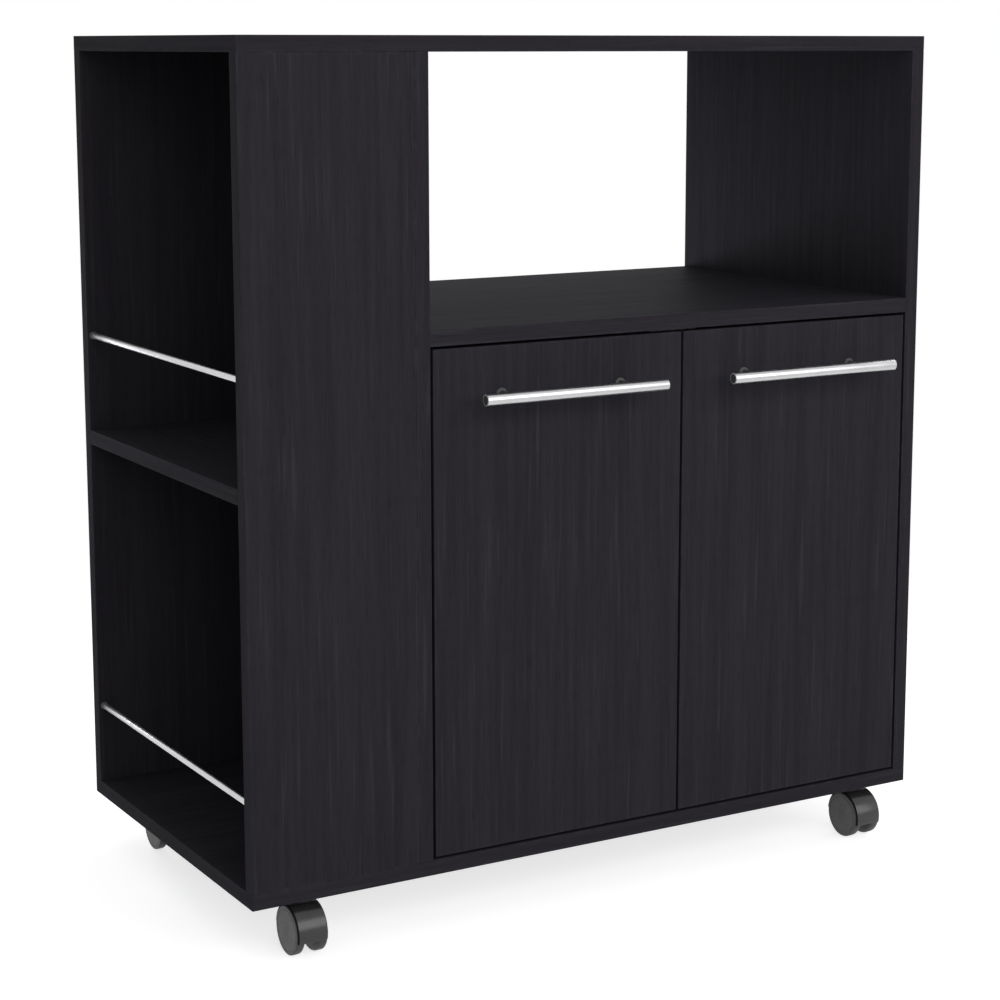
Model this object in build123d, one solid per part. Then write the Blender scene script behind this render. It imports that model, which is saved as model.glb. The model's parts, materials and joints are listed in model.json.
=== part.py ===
from build123d import *
import math
import os

# A rolling microwave stand: a board carcass on four twin-wheel casters.
# An open microwave bay lies above a two-door cabinet, beside a left bay with guard rails.
# Frame in mm: +Z up from the floor, +X to the right, and the front faces -Y.
# The origin is on the floor, midway between the sides and between handle fronts and back.

# Carcass
BODY_WIDTH = 820.0
BODY_DEPTH = 436.0
BODY_HEIGHT = 850.0
BOARD = 16.0
LEFT_BAY_WIDTH = 186.0
LEFT_SHELF_RISE = 388.0
MICROWAVE_BAY_HEIGHT = 272.0

# Cabinet back board in its grooves
BACK_BOARD = 3.0
BACK_INSET = 10.0
GROOVE_DEPTH = 6.0
GROOVE_END_CLEARANCE = 0.5
GROOVE_SIDE_CLEARANCE = 0.2

# Loose shelf inside the cabinet and the pins that carry it
INNER_SHELF_RISE = 255.0
INNER_SHELF_SETBACK = 24.0
INNER_SHELF_SIDE_CLEARANCE = 1.0
INNER_SHELF_BACK_CLEARANCE = 2.0
PIN_DIAMETER = 5.0
PIN_IN_BOARD = 8.0
PIN_OUT = 8.0
PIN_MARGIN = 40.0

# Dowels of the board joints
DOWEL_DIAMETER = 8.0
DOWEL_LENGTH = 30.0
DOWEL_IN_FACE = 10.0
DOWEL_END_SPACE = 0.5
DOWEL_MARGIN = 60.0
DOWEL_SHORT_MARGIN = 40.0
DOWEL_HEIGHT_MARGIN = 100.0

# Guard rails of the left bay
RAIL_DIAMETER = 6.5
RAIL_EDGE_MARGIN = 2.0
RAIL_SOCKET = 8.0
UPPER_RAIL_RISE = 105.0
LOWER_RAIL_RISE = 88.0
FERRULE_WALL = 1.25
FERRULE_LENGTH = 4.0

# Doors and bar handles
DOOR_THICKNESS = 16.0
DOOR_GAP = 3.0
BAR_DIAMETER = 12.0
BAR_LENGTH = 216.0
BAR_CHAMFER = 0.8
HANDLE_STANDOFF = 34.0
HANDLE_DROP = 49.0
POST_SPACING = 142.0
POST_DIAMETER = 7.0
POST_FOOT_FLARE = 2.5
POST_FOOT_HEIGHT = 3.0
HANDLE_SCREW_DIAMETER = 4.0
HANDLE_SCREW_CLEARANCE = 0.25
HANDLE_SCREW_IN_POST = 10.0
HANDLE_SCREW_HEAD_DIAMETER = 8.0
HANDLE_SCREW_HEAD_HEIGHT = 2.5

# Cup hinges, two on each door
HINGE_END_DISTANCE = 95.0
HINGE_AXIS_FROM_BACK = 7.5
HINGE_PIN_DIAMETER = 3.0
HINGE_PIN_SEAT = 2.6
HINGE_PIN_RUNNING = 0.05
CUP_DIAMETER = 35.0
CUP_FLOOR_CLEARANCE = 0.7
CUP_WALL = 0.8
CUP_EDGE_DISTANCE = 22.5
CUP_PIN_OFFSET = 8.5
CUP_FLANGE_THICKNESS = 1.2
CUP_FLANGE_RIM = 1.0
CUP_EAR = 12.5
CUP_EAR_WIDTH = 16.0
CUP_SCREW_MARGIN = 6.0
CUP_SCREW_OFFSET = 9.5
CUP_LUG_WALL = 2.0
ARM_WIDTH = 18.0
ARM_THICKNESS = 2.0
ARM_EYE_WALL = 1.45
ARM_LUG_CLEARANCE = 0.4
ARM_SWING_CLEARANCE = 0.6
ARM_RISER_CLEARANCE = 4.5
ARM_TAIL_LENGTH = 44.0
PLATE_BASE = 2.0
PLATE_RAIL = 4.0
PLATE_RAIL_WIDTH = 15.0
PLATE_LENGTH = 36.0
PLATE_HEIGHT = 46.0
PLATE_SETBACK = 7.0
PLATE_SCREW_MARGIN = 7.0
WOOD_SCREW_DIAMETER = 3.5
WOOD_SCREW_LENGTH = 11.0
WOOD_SCREW_HEAD_DIAMETER = 7.0
WOOD_SCREW_HEAD_HEIGHT = 2.0
WOOD_SCREW_CLEARANCE = 0.2

# Magnetic catch under the microwave shelf and the strike on each door
CATCH_LENGTH = 58.0
CATCH_DEPTH = 15.0
CATCH_HEIGHT = 13.0
CATCH_GAP = 0.3
CATCH_EAR = 3.0
CATCH_SCREW_MARGIN = 7.0
CATCH_SCREW_RECESS = 0.4
STRIKE_LENGTH = 20.0
STRIKE_HEIGHT = 10.0
STRIKE_THICKNESS = 1.2
STRIKE_EDGE_DISTANCE = 3.0

# Twin-wheel casters
CASTER_SIDE_INSET = 60.0
CASTER_END_INSET = 38.0
CASTER_TRAIL = 22.5
HOOD_TOP_CLEARANCE = 3.6
WHEEL_DIAMETER = 50.0
WHEEL_WIDTH = 10.0
WHEEL_OUTER_RIM_RADIUS = 1.0
WHEEL_INNER_RIM_RADIUS = 3.2
WHEEL_RING_INSET = 3.2
WHEEL_RING_WIDTH = 0.8
WHEEL_RING_DEPTH = 0.3
WHEEL_CAP = 1.7
WHEEL_SIDE_CLEARANCE = 0.6
WHEEL_RIM_CLEARANCE = 0.6
AXLE_DIAMETER = 6.0
AXLE_RUNNING = 0.05
AXLE_END_SPACE = 0.3
HOOD_SKIN = 1.8
HOOD_RIM_CHAMFER = 1.2
HOOD_SIDE_SETBACK = 0.6
HOOD_FRONT_DROP = 14.0
HOOD_REAR_RISE = 4.0
HOOD_HUB_WALL = 6.0
CORE_WALL = 0.8
NECK_WALL = 2.55
NECK_FLOOR = 7.5
NECK_CLEARANCE = 0.4
STEM_DIAMETER = 6.0
STEM_IN_NECK = 20.0
STEM_RUNNING = 0.05
STEM_END_SPACE = 0.5
CASTER_PLATE_SIZE = 42.0
CASTER_PLATE_THICKNESS = 2.0
CASTER_PLATE_CORNER = 4.0
CASTER_SCREW_MARGIN = 6.0

# Sizes that follow from those above
FERRULE_DIAMETER = RAIL_DIAMETER + 2 * FERRULE_WALL
POST_FOOT_DIAMETER = POST_DIAMETER + 2 * POST_FOOT_FLARE
HINGE_AXIS_INSET = CUP_EDGE_DISTANCE - CUP_PIN_OFFSET
HINGE_BORE = HINGE_PIN_DIAMETER + 2 * HINGE_PIN_RUNNING
ARM_EYE_DIAMETER = HINGE_BORE + 2 * ARM_EYE_WALL
LUG_GAP = ARM_WIDTH + 2 * ARM_LUG_CLEARANCE
HINGE_PIN_LENGTH = LUG_GAP + 2 * HINGE_PIN_SEAT
CUP_DEPTH = HINGE_AXIS_FROM_BACK + ARM_EYE_DIAMETER / 2 + CUP_FLOOR_CLEARANCE + CUP_WALL
CUP_FLANGE_HEIGHT = CUP_DIAMETER + 2 * CUP_EAR
CUP_SCREW_SPACING = CUP_FLANGE_HEIGHT - 2 * CUP_SCREW_MARGIN
LUG_WIDTH = HINGE_PIN_DIAMETER + 2 * CUP_LUG_WALL
SWING_RADIUS = math.hypot(HINGE_AXIS_INSET, HINGE_AXIS_FROM_BACK)
PLATE_SCREW_SPACING = PLATE_HEIGHT - 2 * PLATE_SCREW_MARGIN
CATCH_SCREW_SPACING = CATCH_LENGTH - 2 * CATCH_SCREW_MARGIN
CASTER_SCREW_SPACING = CASTER_PLATE_SIZE - 2 * CASTER_SCREW_MARGIN
POCKET_RADIUS = WHEEL_DIAMETER / 2 + WHEEL_RIM_CLEARANCE
HOOD_RADIUS = POCKET_RADIUS + HOOD_SKIN
AXLE_DROP = CASTER_PLATE_THICKNESS + HOOD_TOP_CLEARANCE + HOOD_RADIUS
STEM_SOCKET = STEM_DIAMETER + 2 * STEM_RUNNING
NECK_DIAMETER = STEM_SOCKET + 2 * NECK_WALL
NECK_LENGTH = STEM_IN_NECK + STEM_END_SPACE + NECK_FLOOR
CORE_WIDTH = NECK_DIAMETER + 2 * CORE_WALL
WHEEL_INNER = CORE_WIDTH / 2 + WHEEL_SIDE_CLEARANCE
WHEEL_OUTER = WHEEL_INNER + WHEEL_WIDTH
AXLE_HALF = WHEEL_OUTER - WHEEL_CAP - AXLE_END_SPACE

# Reference planes
LEFT_X = -BODY_WIDTH / 2
RIGHT_X = BODY_WIDTH / 2
RIGHT_INNER_X = RIGHT_X - BOARD
DIVIDER_LEFT_X = LEFT_X + LEFT_BAY_WIDTH
DIVIDER_RIGHT_X = DIVIDER_LEFT_X + BOARD
CABINET_MID_X = (DIVIDER_RIGHT_X + RIGHT_INNER_X) / 2
FRONT_Y = (HANDLE_STANDOFF + BAR_DIAMETER / 2 - BODY_DEPTH) / 2
BACK_Y = FRONT_Y + BODY_DEPTH
BAY_FRONT_Y = FRONT_Y + BOARD
BAY_BACK_Y = BACK_Y - BOARD
RAIL_X = LEFT_X + RAIL_EDGE_MARGIN + FERRULE_DIAMETER / 2
DECK_Z = AXLE_DROP + WHEEL_DIAMETER / 2
FLOOR_Z = DECK_Z + BOARD
TOP_Z = DECK_Z + BODY_HEIGHT
CEILING_Z = TOP_Z - BOARD
LEFT_SHELF_Z = FLOOR_Z + LEFT_SHELF_RISE
MICROWAVE_FLOOR_Z = CEILING_Z - MICROWAVE_BAY_HEIGHT
CABINET_TOP_Z = MICROWAVE_FLOOR_Z - BOARD
BACK_BOARD_Y = BACK_Y - BACK_INSET

DOOR_LEFT_X = DIVIDER_RIGHT_X + DOOR_GAP
DOOR_RIGHT_X = CABINET_MID_X - DOOR_GAP / 2
DOOR_BOTTOM_Z = FLOOR_Z + DOOR_GAP
DOOR_TOP_Z = CABINET_TOP_Z - DOOR_GAP
DOOR_BACK_Y = FRONT_Y + DOOR_THICKNESS
HANDLE_X = (DOOR_LEFT_X + DOOR_RIGHT_X) / 2
HANDLE_Z = DOOR_TOP_Z - HANDLE_DROP
BAR_Y = FRONT_Y - HANDLE_STANDOFF

HINGE_X = DOOR_LEFT_X + HINGE_AXIS_INSET
HINGE_Y = DOOR_BACK_Y - HINGE_AXIS_FROM_BACK
HINGE_HEIGHTS = [DOOR_BOTTOM_Z + HINGE_END_DISTANCE, DOOR_TOP_Z - HINGE_END_DISTANCE]
CUP_X = DOOR_LEFT_X + CUP_EDGE_DISTANCE

MIRROR_PLANE = Plane.YZ.offset(CABINET_MID_X)
SIDES = ["left", "right"]


# Shared shapes

def block(x0, x1, y0, y1, z0, z1):
    """Box between two opposite corners."""
    return Pos((x0 + x1) / 2, (y0 + y1) / 2, (z0 + z1) / 2) * Box(x1 - x0, y1 - y0, z1 - z0)


def rod(start, direction, diameter, length):
    """Cylinder from a start point along a direction."""
    place = Plane(origin=start, z_dir=direction).location
    return place * Cylinder(diameter / 2, length, align=(Align.CENTER, Align.CENTER, Align.MIN))


def screw(seat, direction, diameter, length, head_diameter, head_height):
    """Headed screw: the shank runs from its seat along the direction, the head lies behind the seat."""
    back = Vector(*direction) * -1
    return rod(seat, direction, diameter, length) + rod(seat, back, head_diameter, head_height)


def wood_screw(seat, direction):
    """Standard wood screw."""
    return screw(seat, direction, WOOD_SCREW_DIAMETER, WOOD_SCREW_LENGTH,
                 WOOD_SCREW_HEAD_DIAMETER, WOOD_SCREW_HEAD_HEIGHT)


def wood_screw_hole(seat, direction):
    """Pilot hole that a wood screw fills."""
    return rod(seat, direction, WOOD_SCREW_DIAMETER, WOOD_SCREW_LENGTH)


def wood_screw_pass(seat, direction, thickness):
    """Clearance hole through a plate under a wood screw's head."""
    return rod(seat, direction, WOOD_SCREW_DIAMETER + 2 * WOOD_SCREW_CLEARANCE, thickness)


def cut(piece, tools):
    """Piece less each tool."""
    for tool in tools:
        piece = piece - tool
    return piece


def for_side(side, solids):
    """Solids of the left door, or their mirror images for the right one."""
    if side == "left":
        return solids
    return [mirror(solid, about=MIRROR_PLANE) for solid in solids]


# Dowel joints: each is a point on the face of one board and the direction into the other's edge

def upright_joints(plane_z, direction):
    """Dowel joints between a horizontal panel and the four uprights."""
    rows = [FRONT_Y + DOWEL_MARGIN, (FRONT_Y + BACK_Y) / 2, BACK_Y - DOWEL_MARGIN]
    uprights = [DIVIDER_LEFT_X + BOARD / 2, RIGHT_X - BOARD / 2]
    joints = [((x, y, plane_z), direction) for x in uprights for y in rows]
    columns = [LEFT_X + DOWEL_SHORT_MARGIN, DIVIDER_LEFT_X - DOWEL_SHORT_MARGIN]
    walls = [FRONT_Y + BOARD / 2, BACK_Y - BOARD / 2]
    return joints + [((x, y, plane_z), direction) for x in columns for y in walls]


def left_bay_joints():
    """Dowel joints of the left bay's two end walls and its shelf."""
    walls = [FRONT_Y + BOARD / 2, BACK_Y - BOARD / 2]
    heights = [FLOOR_Z + DOWEL_HEIGHT_MARGIN, CEILING_Z - DOWEL_HEIGHT_MARGIN]
    joints = [((DIVIDER_LEFT_X, y, z), (-1, 0, 0)) for y in walls for z in heights]
    shelf_z = LEFT_SHELF_Z + BOARD / 2
    rows = [BAY_FRONT_Y + DOWEL_MARGIN, BAY_BACK_Y - DOWEL_MARGIN]
    joints += [((DIVIDER_LEFT_X, y, shelf_z), (-1, 0, 0)) for y in rows]
    shelf_x = (LEFT_X + DIVIDER_LEFT_X) / 2
    joints.append(((shelf_x, BAY_FRONT_Y, shelf_z), (0, 1, 0)))
    joints.append(((shelf_x, BAY_BACK_Y, shelf_z), (0, -1, 0)))
    return joints


def microwave_shelf_joints():
    """Dowel joints at both ends of the microwave shelf."""
    rows = [FRONT_Y + DOWEL_MARGIN, (FRONT_Y + BACK_Y) / 2, BACK_Y - DOWEL_MARGIN]
    shelf_z = MICROWAVE_FLOOR_Z - BOARD / 2
    joints = [((DIVIDER_RIGHT_X, y, shelf_z), (1, 0, 0)) for y in rows]
    return joints + [((RIGHT_INNER_X, y, shelf_z), (-1, 0, 0)) for y in rows]


BOTTOM_JOINTS = upright_joints(FLOOR_Z, (0, 0, 1))
TOP_JOINTS = upright_joints(CEILING_Z, (0, 0, -1))
LEFT_BAY_JOINTS = left_bay_joints()
SHELF_JOINTS = microwave_shelf_joints()


def dowel(joint, end_space=0.0):
    """Dowel of a joint, or its hole when it has end space."""
    point, direction = joint
    start = Vector(*point) - Vector(*direction) * (DOWEL_IN_FACE + end_space)
    return rod(start, direction, DOWEL_DIAMETER, DOWEL_LENGTH + 2 * end_space)


def dowel_holes(joints):
    """Holes for a list of joints."""
    return [dowel(joint, DOWEL_END_SPACE) for joint in joints]


# Hinge and caster fixings that the boards take

def plate_screw_seats():
    """Seats of the left door's hinge plate screws, on the plate wings."""
    x = DIVIDER_RIGHT_X + PLATE_BASE
    y = HINGE_Y + SWING_RADIUS + PLATE_SETBACK + PLATE_LENGTH / 2
    offsets = [-PLATE_SCREW_SPACING / 2, PLATE_SCREW_SPACING / 2]
    return [(x, y, z + offset) for z in HINGE_HEIGHTS for offset in offsets]


def catch_screw_seats():
    """Seats of the catch screws, up in the recesses of the catch body."""
    y = DOOR_BACK_Y + STRIKE_THICKNESS + CATCH_GAP + CATCH_DEPTH / 2
    z = CABINET_TOP_Z - CATCH_EAR
    offsets = [-CATCH_SCREW_SPACING / 2, CATCH_SCREW_SPACING / 2]
    return [(CABINET_MID_X + offset, y, z) for offset in offsets]


def caster_spots():
    """Swivel axis of each caster, by corner name."""
    rows = {"front": FRONT_Y + CASTER_END_INSET, "rear": BACK_Y - CASTER_END_INSET}
    columns = {"left": LEFT_X + CASTER_SIDE_INSET, "right": RIGHT_X - CASTER_SIDE_INSET}
    return {f"{row}_{column}": (columns[column], rows[row]) for row in rows for column in columns}


CASTERS = caster_spots()


def caster_screw_seats(spot):
    """Seats of one caster's screws, under its plate."""
    x, y = spot
    offsets = [-CASTER_SCREW_SPACING / 2, CASTER_SCREW_SPACING / 2]
    z = DECK_Z - CASTER_PLATE_THICKNESS
    return [(x + dx, y + dy, z) for dx in offsets for dy in offsets]


# Carcass boards

def back_groove():
    """Space that the cabinet back board takes in the four boards around it."""
    reach = GROOVE_DEPTH
    return block(DIVIDER_RIGHT_X - reach, RIGHT_INNER_X + reach,
                 BACK_BOARD_Y - BACK_BOARD - GROOVE_SIDE_CLEARANCE, BACK_BOARD_Y,
                 FLOOR_Z - reach, CABINET_TOP_Z + reach)


def cabinet_back_panel():
    reach = GROOVE_DEPTH - GROOVE_END_CLEARANCE
    return block(DIVIDER_RIGHT_X - reach, RIGHT_INNER_X + reach, BACK_BOARD_Y - BACK_BOARD, BACK_BOARD_Y,
                 FLOOR_Z - reach, CABINET_TOP_Z + reach)


def bottom_panel():
    board = block(LEFT_X, RIGHT_X, FRONT_Y, BACK_Y, DECK_Z, FLOOR_Z)
    seats = [seat for spot in CASTERS.values() for seat in caster_screw_seats(spot)]
    screws = [wood_screw_hole(seat, (0, 0, 1)) for seat in seats]
    return cut(board, dowel_holes(BOTTOM_JOINTS) + screws + [back_groove()])


def top_panel():
    board = block(LEFT_X, RIGHT_X, FRONT_Y, BACK_Y, CEILING_Z, TOP_Z)
    return cut(board, dowel_holes(TOP_JOINTS))


def inner_shelf_rows():
    """Front and back line of the shelf pins."""
    front = DOOR_BACK_Y + INNER_SHELF_SETBACK
    back = BACK_BOARD_Y - BACK_BOARD - INNER_SHELF_BACK_CLEARANCE
    return [front + PIN_MARGIN, back - PIN_MARGIN]


def shelf_pins():
    """Pins at both ends of the inner shelf, half in the board and half out."""
    z = FLOOR_Z + INNER_SHELF_RISE - PIN_DIAMETER / 2
    length = PIN_IN_BOARD + PIN_OUT
    pins = []
    for y in inner_shelf_rows():
        pins.append(rod((DIVIDER_RIGHT_X - PIN_IN_BOARD, y, z), (1, 0, 0), PIN_DIAMETER, length))
        pins.append(rod((RIGHT_INNER_X + PIN_IN_BOARD, y, z), (-1, 0, 0), PIN_DIAMETER, length))
    return pins


def hinge_side_holes(side):
    """Holes for hinge plate screws in the board that carries a door."""
    holes = [wood_screw_hole(seat, (-1, 0, 0)) for seat in plate_screw_seats()]
    return for_side(side, holes)


def right_side_panel():
    board = block(RIGHT_INNER_X, RIGHT_X, FRONT_Y, BACK_Y, FLOOR_Z, CEILING_Z)
    joints = dowel_holes(BOTTOM_JOINTS + TOP_JOINTS + SHELF_JOINTS)
    return cut(board, joints + hinge_side_holes("right") + shelf_pins() + [back_groove()])


def divider_panel():
    board = block(DIVIDER_LEFT_X, DIVIDER_RIGHT_X, FRONT_Y, BACK_Y, FLOOR_Z, CEILING_Z)
    joints = dowel_holes(BOTTOM_JOINTS + TOP_JOINTS + SHELF_JOINTS + LEFT_BAY_JOINTS)
    return cut(board, joints + hinge_side_holes("left") + shelf_pins() + [back_groove()])


def microwave_shelf():
    board = block(DIVIDER_RIGHT_X, RIGHT_INNER_X, FRONT_Y, BACK_Y, CABINET_TOP_Z, MICROWAVE_FLOOR_Z)
    screws = [wood_screw_hole(seat, (0, 0, 1)) for seat in catch_screw_seats()]
    return cut(board, dowel_holes(SHELF_JOINTS) + screws + [back_groove()])


def cabinet_inner_shelf():
    z = FLOOR_Z + INNER_SHELF_RISE
    return block(DIVIDER_RIGHT_X + INNER_SHELF_SIDE_CLEARANCE, RIGHT_INNER_X - INNER_SHELF_SIDE_CLEARANCE,
                 DOOR_BACK_Y + INNER_SHELF_SETBACK,
                 BACK_BOARD_Y - BACK_BOARD - INNER_SHELF_BACK_CLEARANCE, z, z + BOARD)


# Left bay

def rail(z):
    """Guard rail at a height, socketed in the bay's end walls."""
    start = (RAIL_X, BAY_FRONT_Y - RAIL_SOCKET, z)
    return rod(start, (0, 1, 0), RAIL_DIAMETER, BAY_BACK_Y - BAY_FRONT_Y + 2 * RAIL_SOCKET)


UPPER_RAIL = rail(LEFT_SHELF_Z + BOARD + UPPER_RAIL_RISE)
LOWER_RAIL = rail(FLOOR_Z + LOWER_RAIL_RISE)


def rail_ferrules():
    """Collar at each end of each rail, seated on the end wall."""
    ferrules = []
    for z in (LEFT_SHELF_Z + BOARD + UPPER_RAIL_RISE, FLOOR_Z + LOWER_RAIL_RISE):
        for y, direction in ((BAY_FRONT_Y, (0, 1, 0)), (BAY_BACK_Y, (0, -1, 0))):
            collar = rod((RAIL_X, y, z), direction, FERRULE_DIAMETER, FERRULE_LENGTH)
            ferrules.append(cut(collar, [UPPER_RAIL, LOWER_RAIL]))
    return ferrules


def left_end_wall(y0):
    """End wall of the left bay, from its front face."""
    board = block(LEFT_X, DIVIDER_LEFT_X, y0, y0 + BOARD, FLOOR_Z, CEILING_Z)
    joints = dowel_holes(BOTTOM_JOINTS + TOP_JOINTS + LEFT_BAY_JOINTS)
    return cut(board, joints + [UPPER_RAIL, LOWER_RAIL])


def left_bay_shelf():
    board = block(LEFT_X, DIVIDER_LEFT_X, BAY_FRONT_Y, BAY_BACK_Y, LEFT_SHELF_Z, LEFT_SHELF_Z + BOARD)
    return cut(board, dowel_holes(LEFT_BAY_JOINTS))


# Cup hinges, made for the left door

def cup_screw_seats(height):
    """Seats of the two cup screws, on the flange behind the door."""
    x = CUP_X + CUP_SCREW_OFFSET
    y = DOOR_BACK_Y + CUP_FLANGE_THICKNESS
    return [(x, y, height + offset) for offset in (-CUP_SCREW_SPACING / 2, CUP_SCREW_SPACING / 2)]


def cup_boring(height):
    """Round recess of a cup in the door's back."""
    return rod((CUP_X, DOOR_BACK_Y, height), (0, -1, 0), CUP_DIAMETER, CUP_DEPTH)


def hinge_pin(height):
    start = (HINGE_X, HINGE_Y, height - HINGE_PIN_LENGTH / 2)
    return rod(start, (0, 0, 1), HINGE_PIN_DIAMETER, HINGE_PIN_LENGTH)


def hinge_cup(height):
    """Cup with a screw flange, and two lugs inside that hold the pin."""
    flange_y = DOOR_BACK_Y + CUP_FLANGE_THICKNESS
    mouth = (CUP_X, DOOR_BACK_Y, height)
    rim = rod(mouth, (0, 1, 0), CUP_DIAMETER + 2 * CUP_FLANGE_RIM, CUP_FLANGE_THICKNESS)
    ears_x = CUP_X + CUP_SCREW_OFFSET
    ears = block(ears_x - CUP_EAR_WIDTH / 2, ears_x + CUP_EAR_WIDTH / 2, DOOR_BACK_Y, flange_y,
                 height - CUP_FLANGE_HEIGHT / 2, height + CUP_FLANGE_HEIGHT / 2)
    hollow_depth = CUP_DEPTH - CUP_WALL + CUP_FLANGE_THICKNESS
    hollow = rod((CUP_X, flange_y, height), (0, -1, 0), CUP_DIAMETER - 2 * CUP_WALL, hollow_depth)
    floor_y = DOOR_BACK_Y - CUP_DEPTH
    lug_bar = block(HINGE_X - LUG_WIDTH / 2, HINGE_X + LUG_WIDTH / 2, floor_y, HINGE_Y + LUG_WIDTH / 2,
                    height - CUP_DIAMETER, height + CUP_DIAMETER)
    lug_slot = block(HINGE_X - LUG_WIDTH, HINGE_X + LUG_WIDTH, floor_y, DOOR_BACK_Y,
                     height - LUG_GAP / 2, height + LUG_GAP / 2)
    lugs = (lug_bar - lug_slot) & hollow
    shell = cup_boring(height) + rim + ears - hollow
    passes = [wood_screw_pass(seat, (0, -1, 0), CUP_FLANGE_THICKNESS) for seat in cup_screw_seats(height)]
    return cut(shell + lugs, passes + [hinge_pin(height)])


def hinge_arm(height):
    """Goose-neck arm from the pin, round the door's swinging edge, to the mounting plate."""
    neck_x = HINGE_X + HINGE_AXIS_FROM_BACK + ARM_RISER_CLEARANCE
    bridge_y = HINGE_Y + SWING_RADIUS + ARM_SWING_CLEARANCE
    tail_x = DIVIDER_RIGHT_X + PLATE_BASE + PLATE_RAIL
    z0 = height - ARM_WIDTH / 2
    z1 = height + ARM_WIDTH / 2
    eye = rod((HINGE_X, HINGE_Y, z0), (0, 0, 1), ARM_EYE_DIAMETER, ARM_WIDTH)
    foot = block(HINGE_X, neck_x + ARM_THICKNESS, HINGE_Y, HINGE_Y + ARM_THICKNESS, z0, z1)
    riser = block(neck_x, neck_x + ARM_THICKNESS, HINGE_Y, bridge_y + ARM_THICKNESS, z0, z1)
    bridge = block(tail_x, neck_x + ARM_THICKNESS, bridge_y, bridge_y + ARM_THICKNESS, z0, z1)
    tail = block(tail_x, tail_x + ARM_THICKNESS, bridge_y, bridge_y + ARM_TAIL_LENGTH, z0, z1)
    bore = rod((HINGE_X, HINGE_Y, z0), (0, 0, 1), HINGE_BORE, ARM_WIDTH)
    return eye + foot + riser + bridge + tail - bore


def hinge_plate(height):
    """Winged plate on the cabinet side, with a rail that the arm clips on."""
    y0 = HINGE_Y + SWING_RADIUS + PLATE_SETBACK
    y1 = y0 + PLATE_LENGTH
    wing_x = DIVIDER_RIGHT_X + PLATE_BASE
    wings = block(DIVIDER_RIGHT_X, wing_x, y0, y1, height - PLATE_HEIGHT / 2, height + PLATE_HEIGHT / 2)
    clip = block(wing_x, wing_x + PLATE_RAIL, y0, y1,
                 height - PLATE_RAIL_WIDTH / 2, height + PLATE_RAIL_WIDTH / 2)
    passes = [wood_screw_pass(seat, (-1, 0, 0), PLATE_BASE) for seat in plate_screw_seats()]
    return cut(wings + clip, passes)


# Doors and handles, made for the left door

def post_spots():
    """Post axes of the left door's handle, on the door's front face."""
    offsets = [-POST_SPACING / 2, POST_SPACING / 2]
    return [(HANDLE_X + offset, FRONT_Y, HANDLE_Z) for offset in offsets]


def handle_screw(spot):
    """Machine screw through the door into a post."""
    x, y, z = spot
    seat = (x, DOOR_BACK_Y, z)
    length = DOOR_THICKNESS + HANDLE_SCREW_IN_POST
    return screw(seat, (0, -1, 0), HANDLE_SCREW_DIAMETER, length,
                 HANDLE_SCREW_HEAD_DIAMETER, HANDLE_SCREW_HEAD_HEIGHT)


def post_neck(spot):
    """Straight part of a post, from the door to the bar's axis."""
    return rod(spot, (0, -1, 0), POST_DIAMETER, HANDLE_STANDOFF)


def handle_post(spot):
    foot = rod(spot, (0, -1, 0), POST_FOOT_DIAMETER, POST_FOOT_HEIGHT)
    return post_neck(spot) + foot - handle_screw(spot)


def handle_bar():
    """Round bar with chamfered ends, bored from behind for its posts."""
    bar = rod((HANDLE_X - BAR_LENGTH / 2, BAR_Y, HANDLE_Z), (1, 0, 0), BAR_DIAMETER, BAR_LENGTH)
    bar = chamfer(bar.edges().filter_by(GeomType.CIRCLE), BAR_CHAMFER)
    return cut(bar, [post_neck(spot) for spot in post_spots()])


def door():
    board = block(DOOR_LEFT_X, DOOR_RIGHT_X, FRONT_Y, DOOR_BACK_Y, DOOR_BOTTOM_Z, DOOR_TOP_Z)
    hole = HANDLE_SCREW_DIAMETER + 2 * HANDLE_SCREW_CLEARANCE
    holes = [rod(spot, (0, 1, 0), hole, DOOR_THICKNESS) for spot in post_spots()]
    for height in HINGE_HEIGHTS:
        holes.append(cup_boring(height))
        holes += [wood_screw_hole(seat, (0, -1, 0)) for seat in cup_screw_seats(height)]
    return cut(board, holes)


def door_strike():
    """Steel plate on the door's back, at the catch."""
    x1 = DOOR_RIGHT_X - STRIKE_EDGE_DISTANCE
    z1 = DOOR_TOP_Z - STRIKE_EDGE_DISTANCE
    return block(x1 - STRIKE_LENGTH, x1, DOOR_BACK_Y, DOOR_BACK_Y + STRIKE_THICKNESS,
                 z1 - STRIKE_HEIGHT, z1)


def door_catch():
    """Double magnetic catch under the microwave shelf, which both strikes close on."""
    y0 = DOOR_BACK_Y + STRIKE_THICKNESS + CATCH_GAP
    body = block(CABINET_MID_X - CATCH_LENGTH / 2, CABINET_MID_X + CATCH_LENGTH / 2, y0, y0 + CATCH_DEPTH,
                 CABINET_TOP_Z - CATCH_HEIGHT, CABINET_TOP_Z)
    recess = WOOD_SCREW_HEAD_DIAMETER + 2 * CATCH_SCREW_RECESS
    tools = []
    for seat in catch_screw_seats():
        tools.append(wood_screw_pass(seat, (0, 0, 1), CATCH_EAR))
        tools.append(rod(seat, (0, 0, -1), recess, CATCH_HEIGHT - CATCH_EAR))
    return cut(body, tools)


# One caster, with its swivel axis at the origin and the deck's underside at height zero

def round_rim(tyre, direction, radius):
    """Tyre with the rim rounded that lies furthest in a direction."""
    rims = tyre.edges().filter_by(GeomType.CIRCLE).sort_by(Axis((0, 0, 0), direction))
    return fillet(rims[-1], radius)


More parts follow.
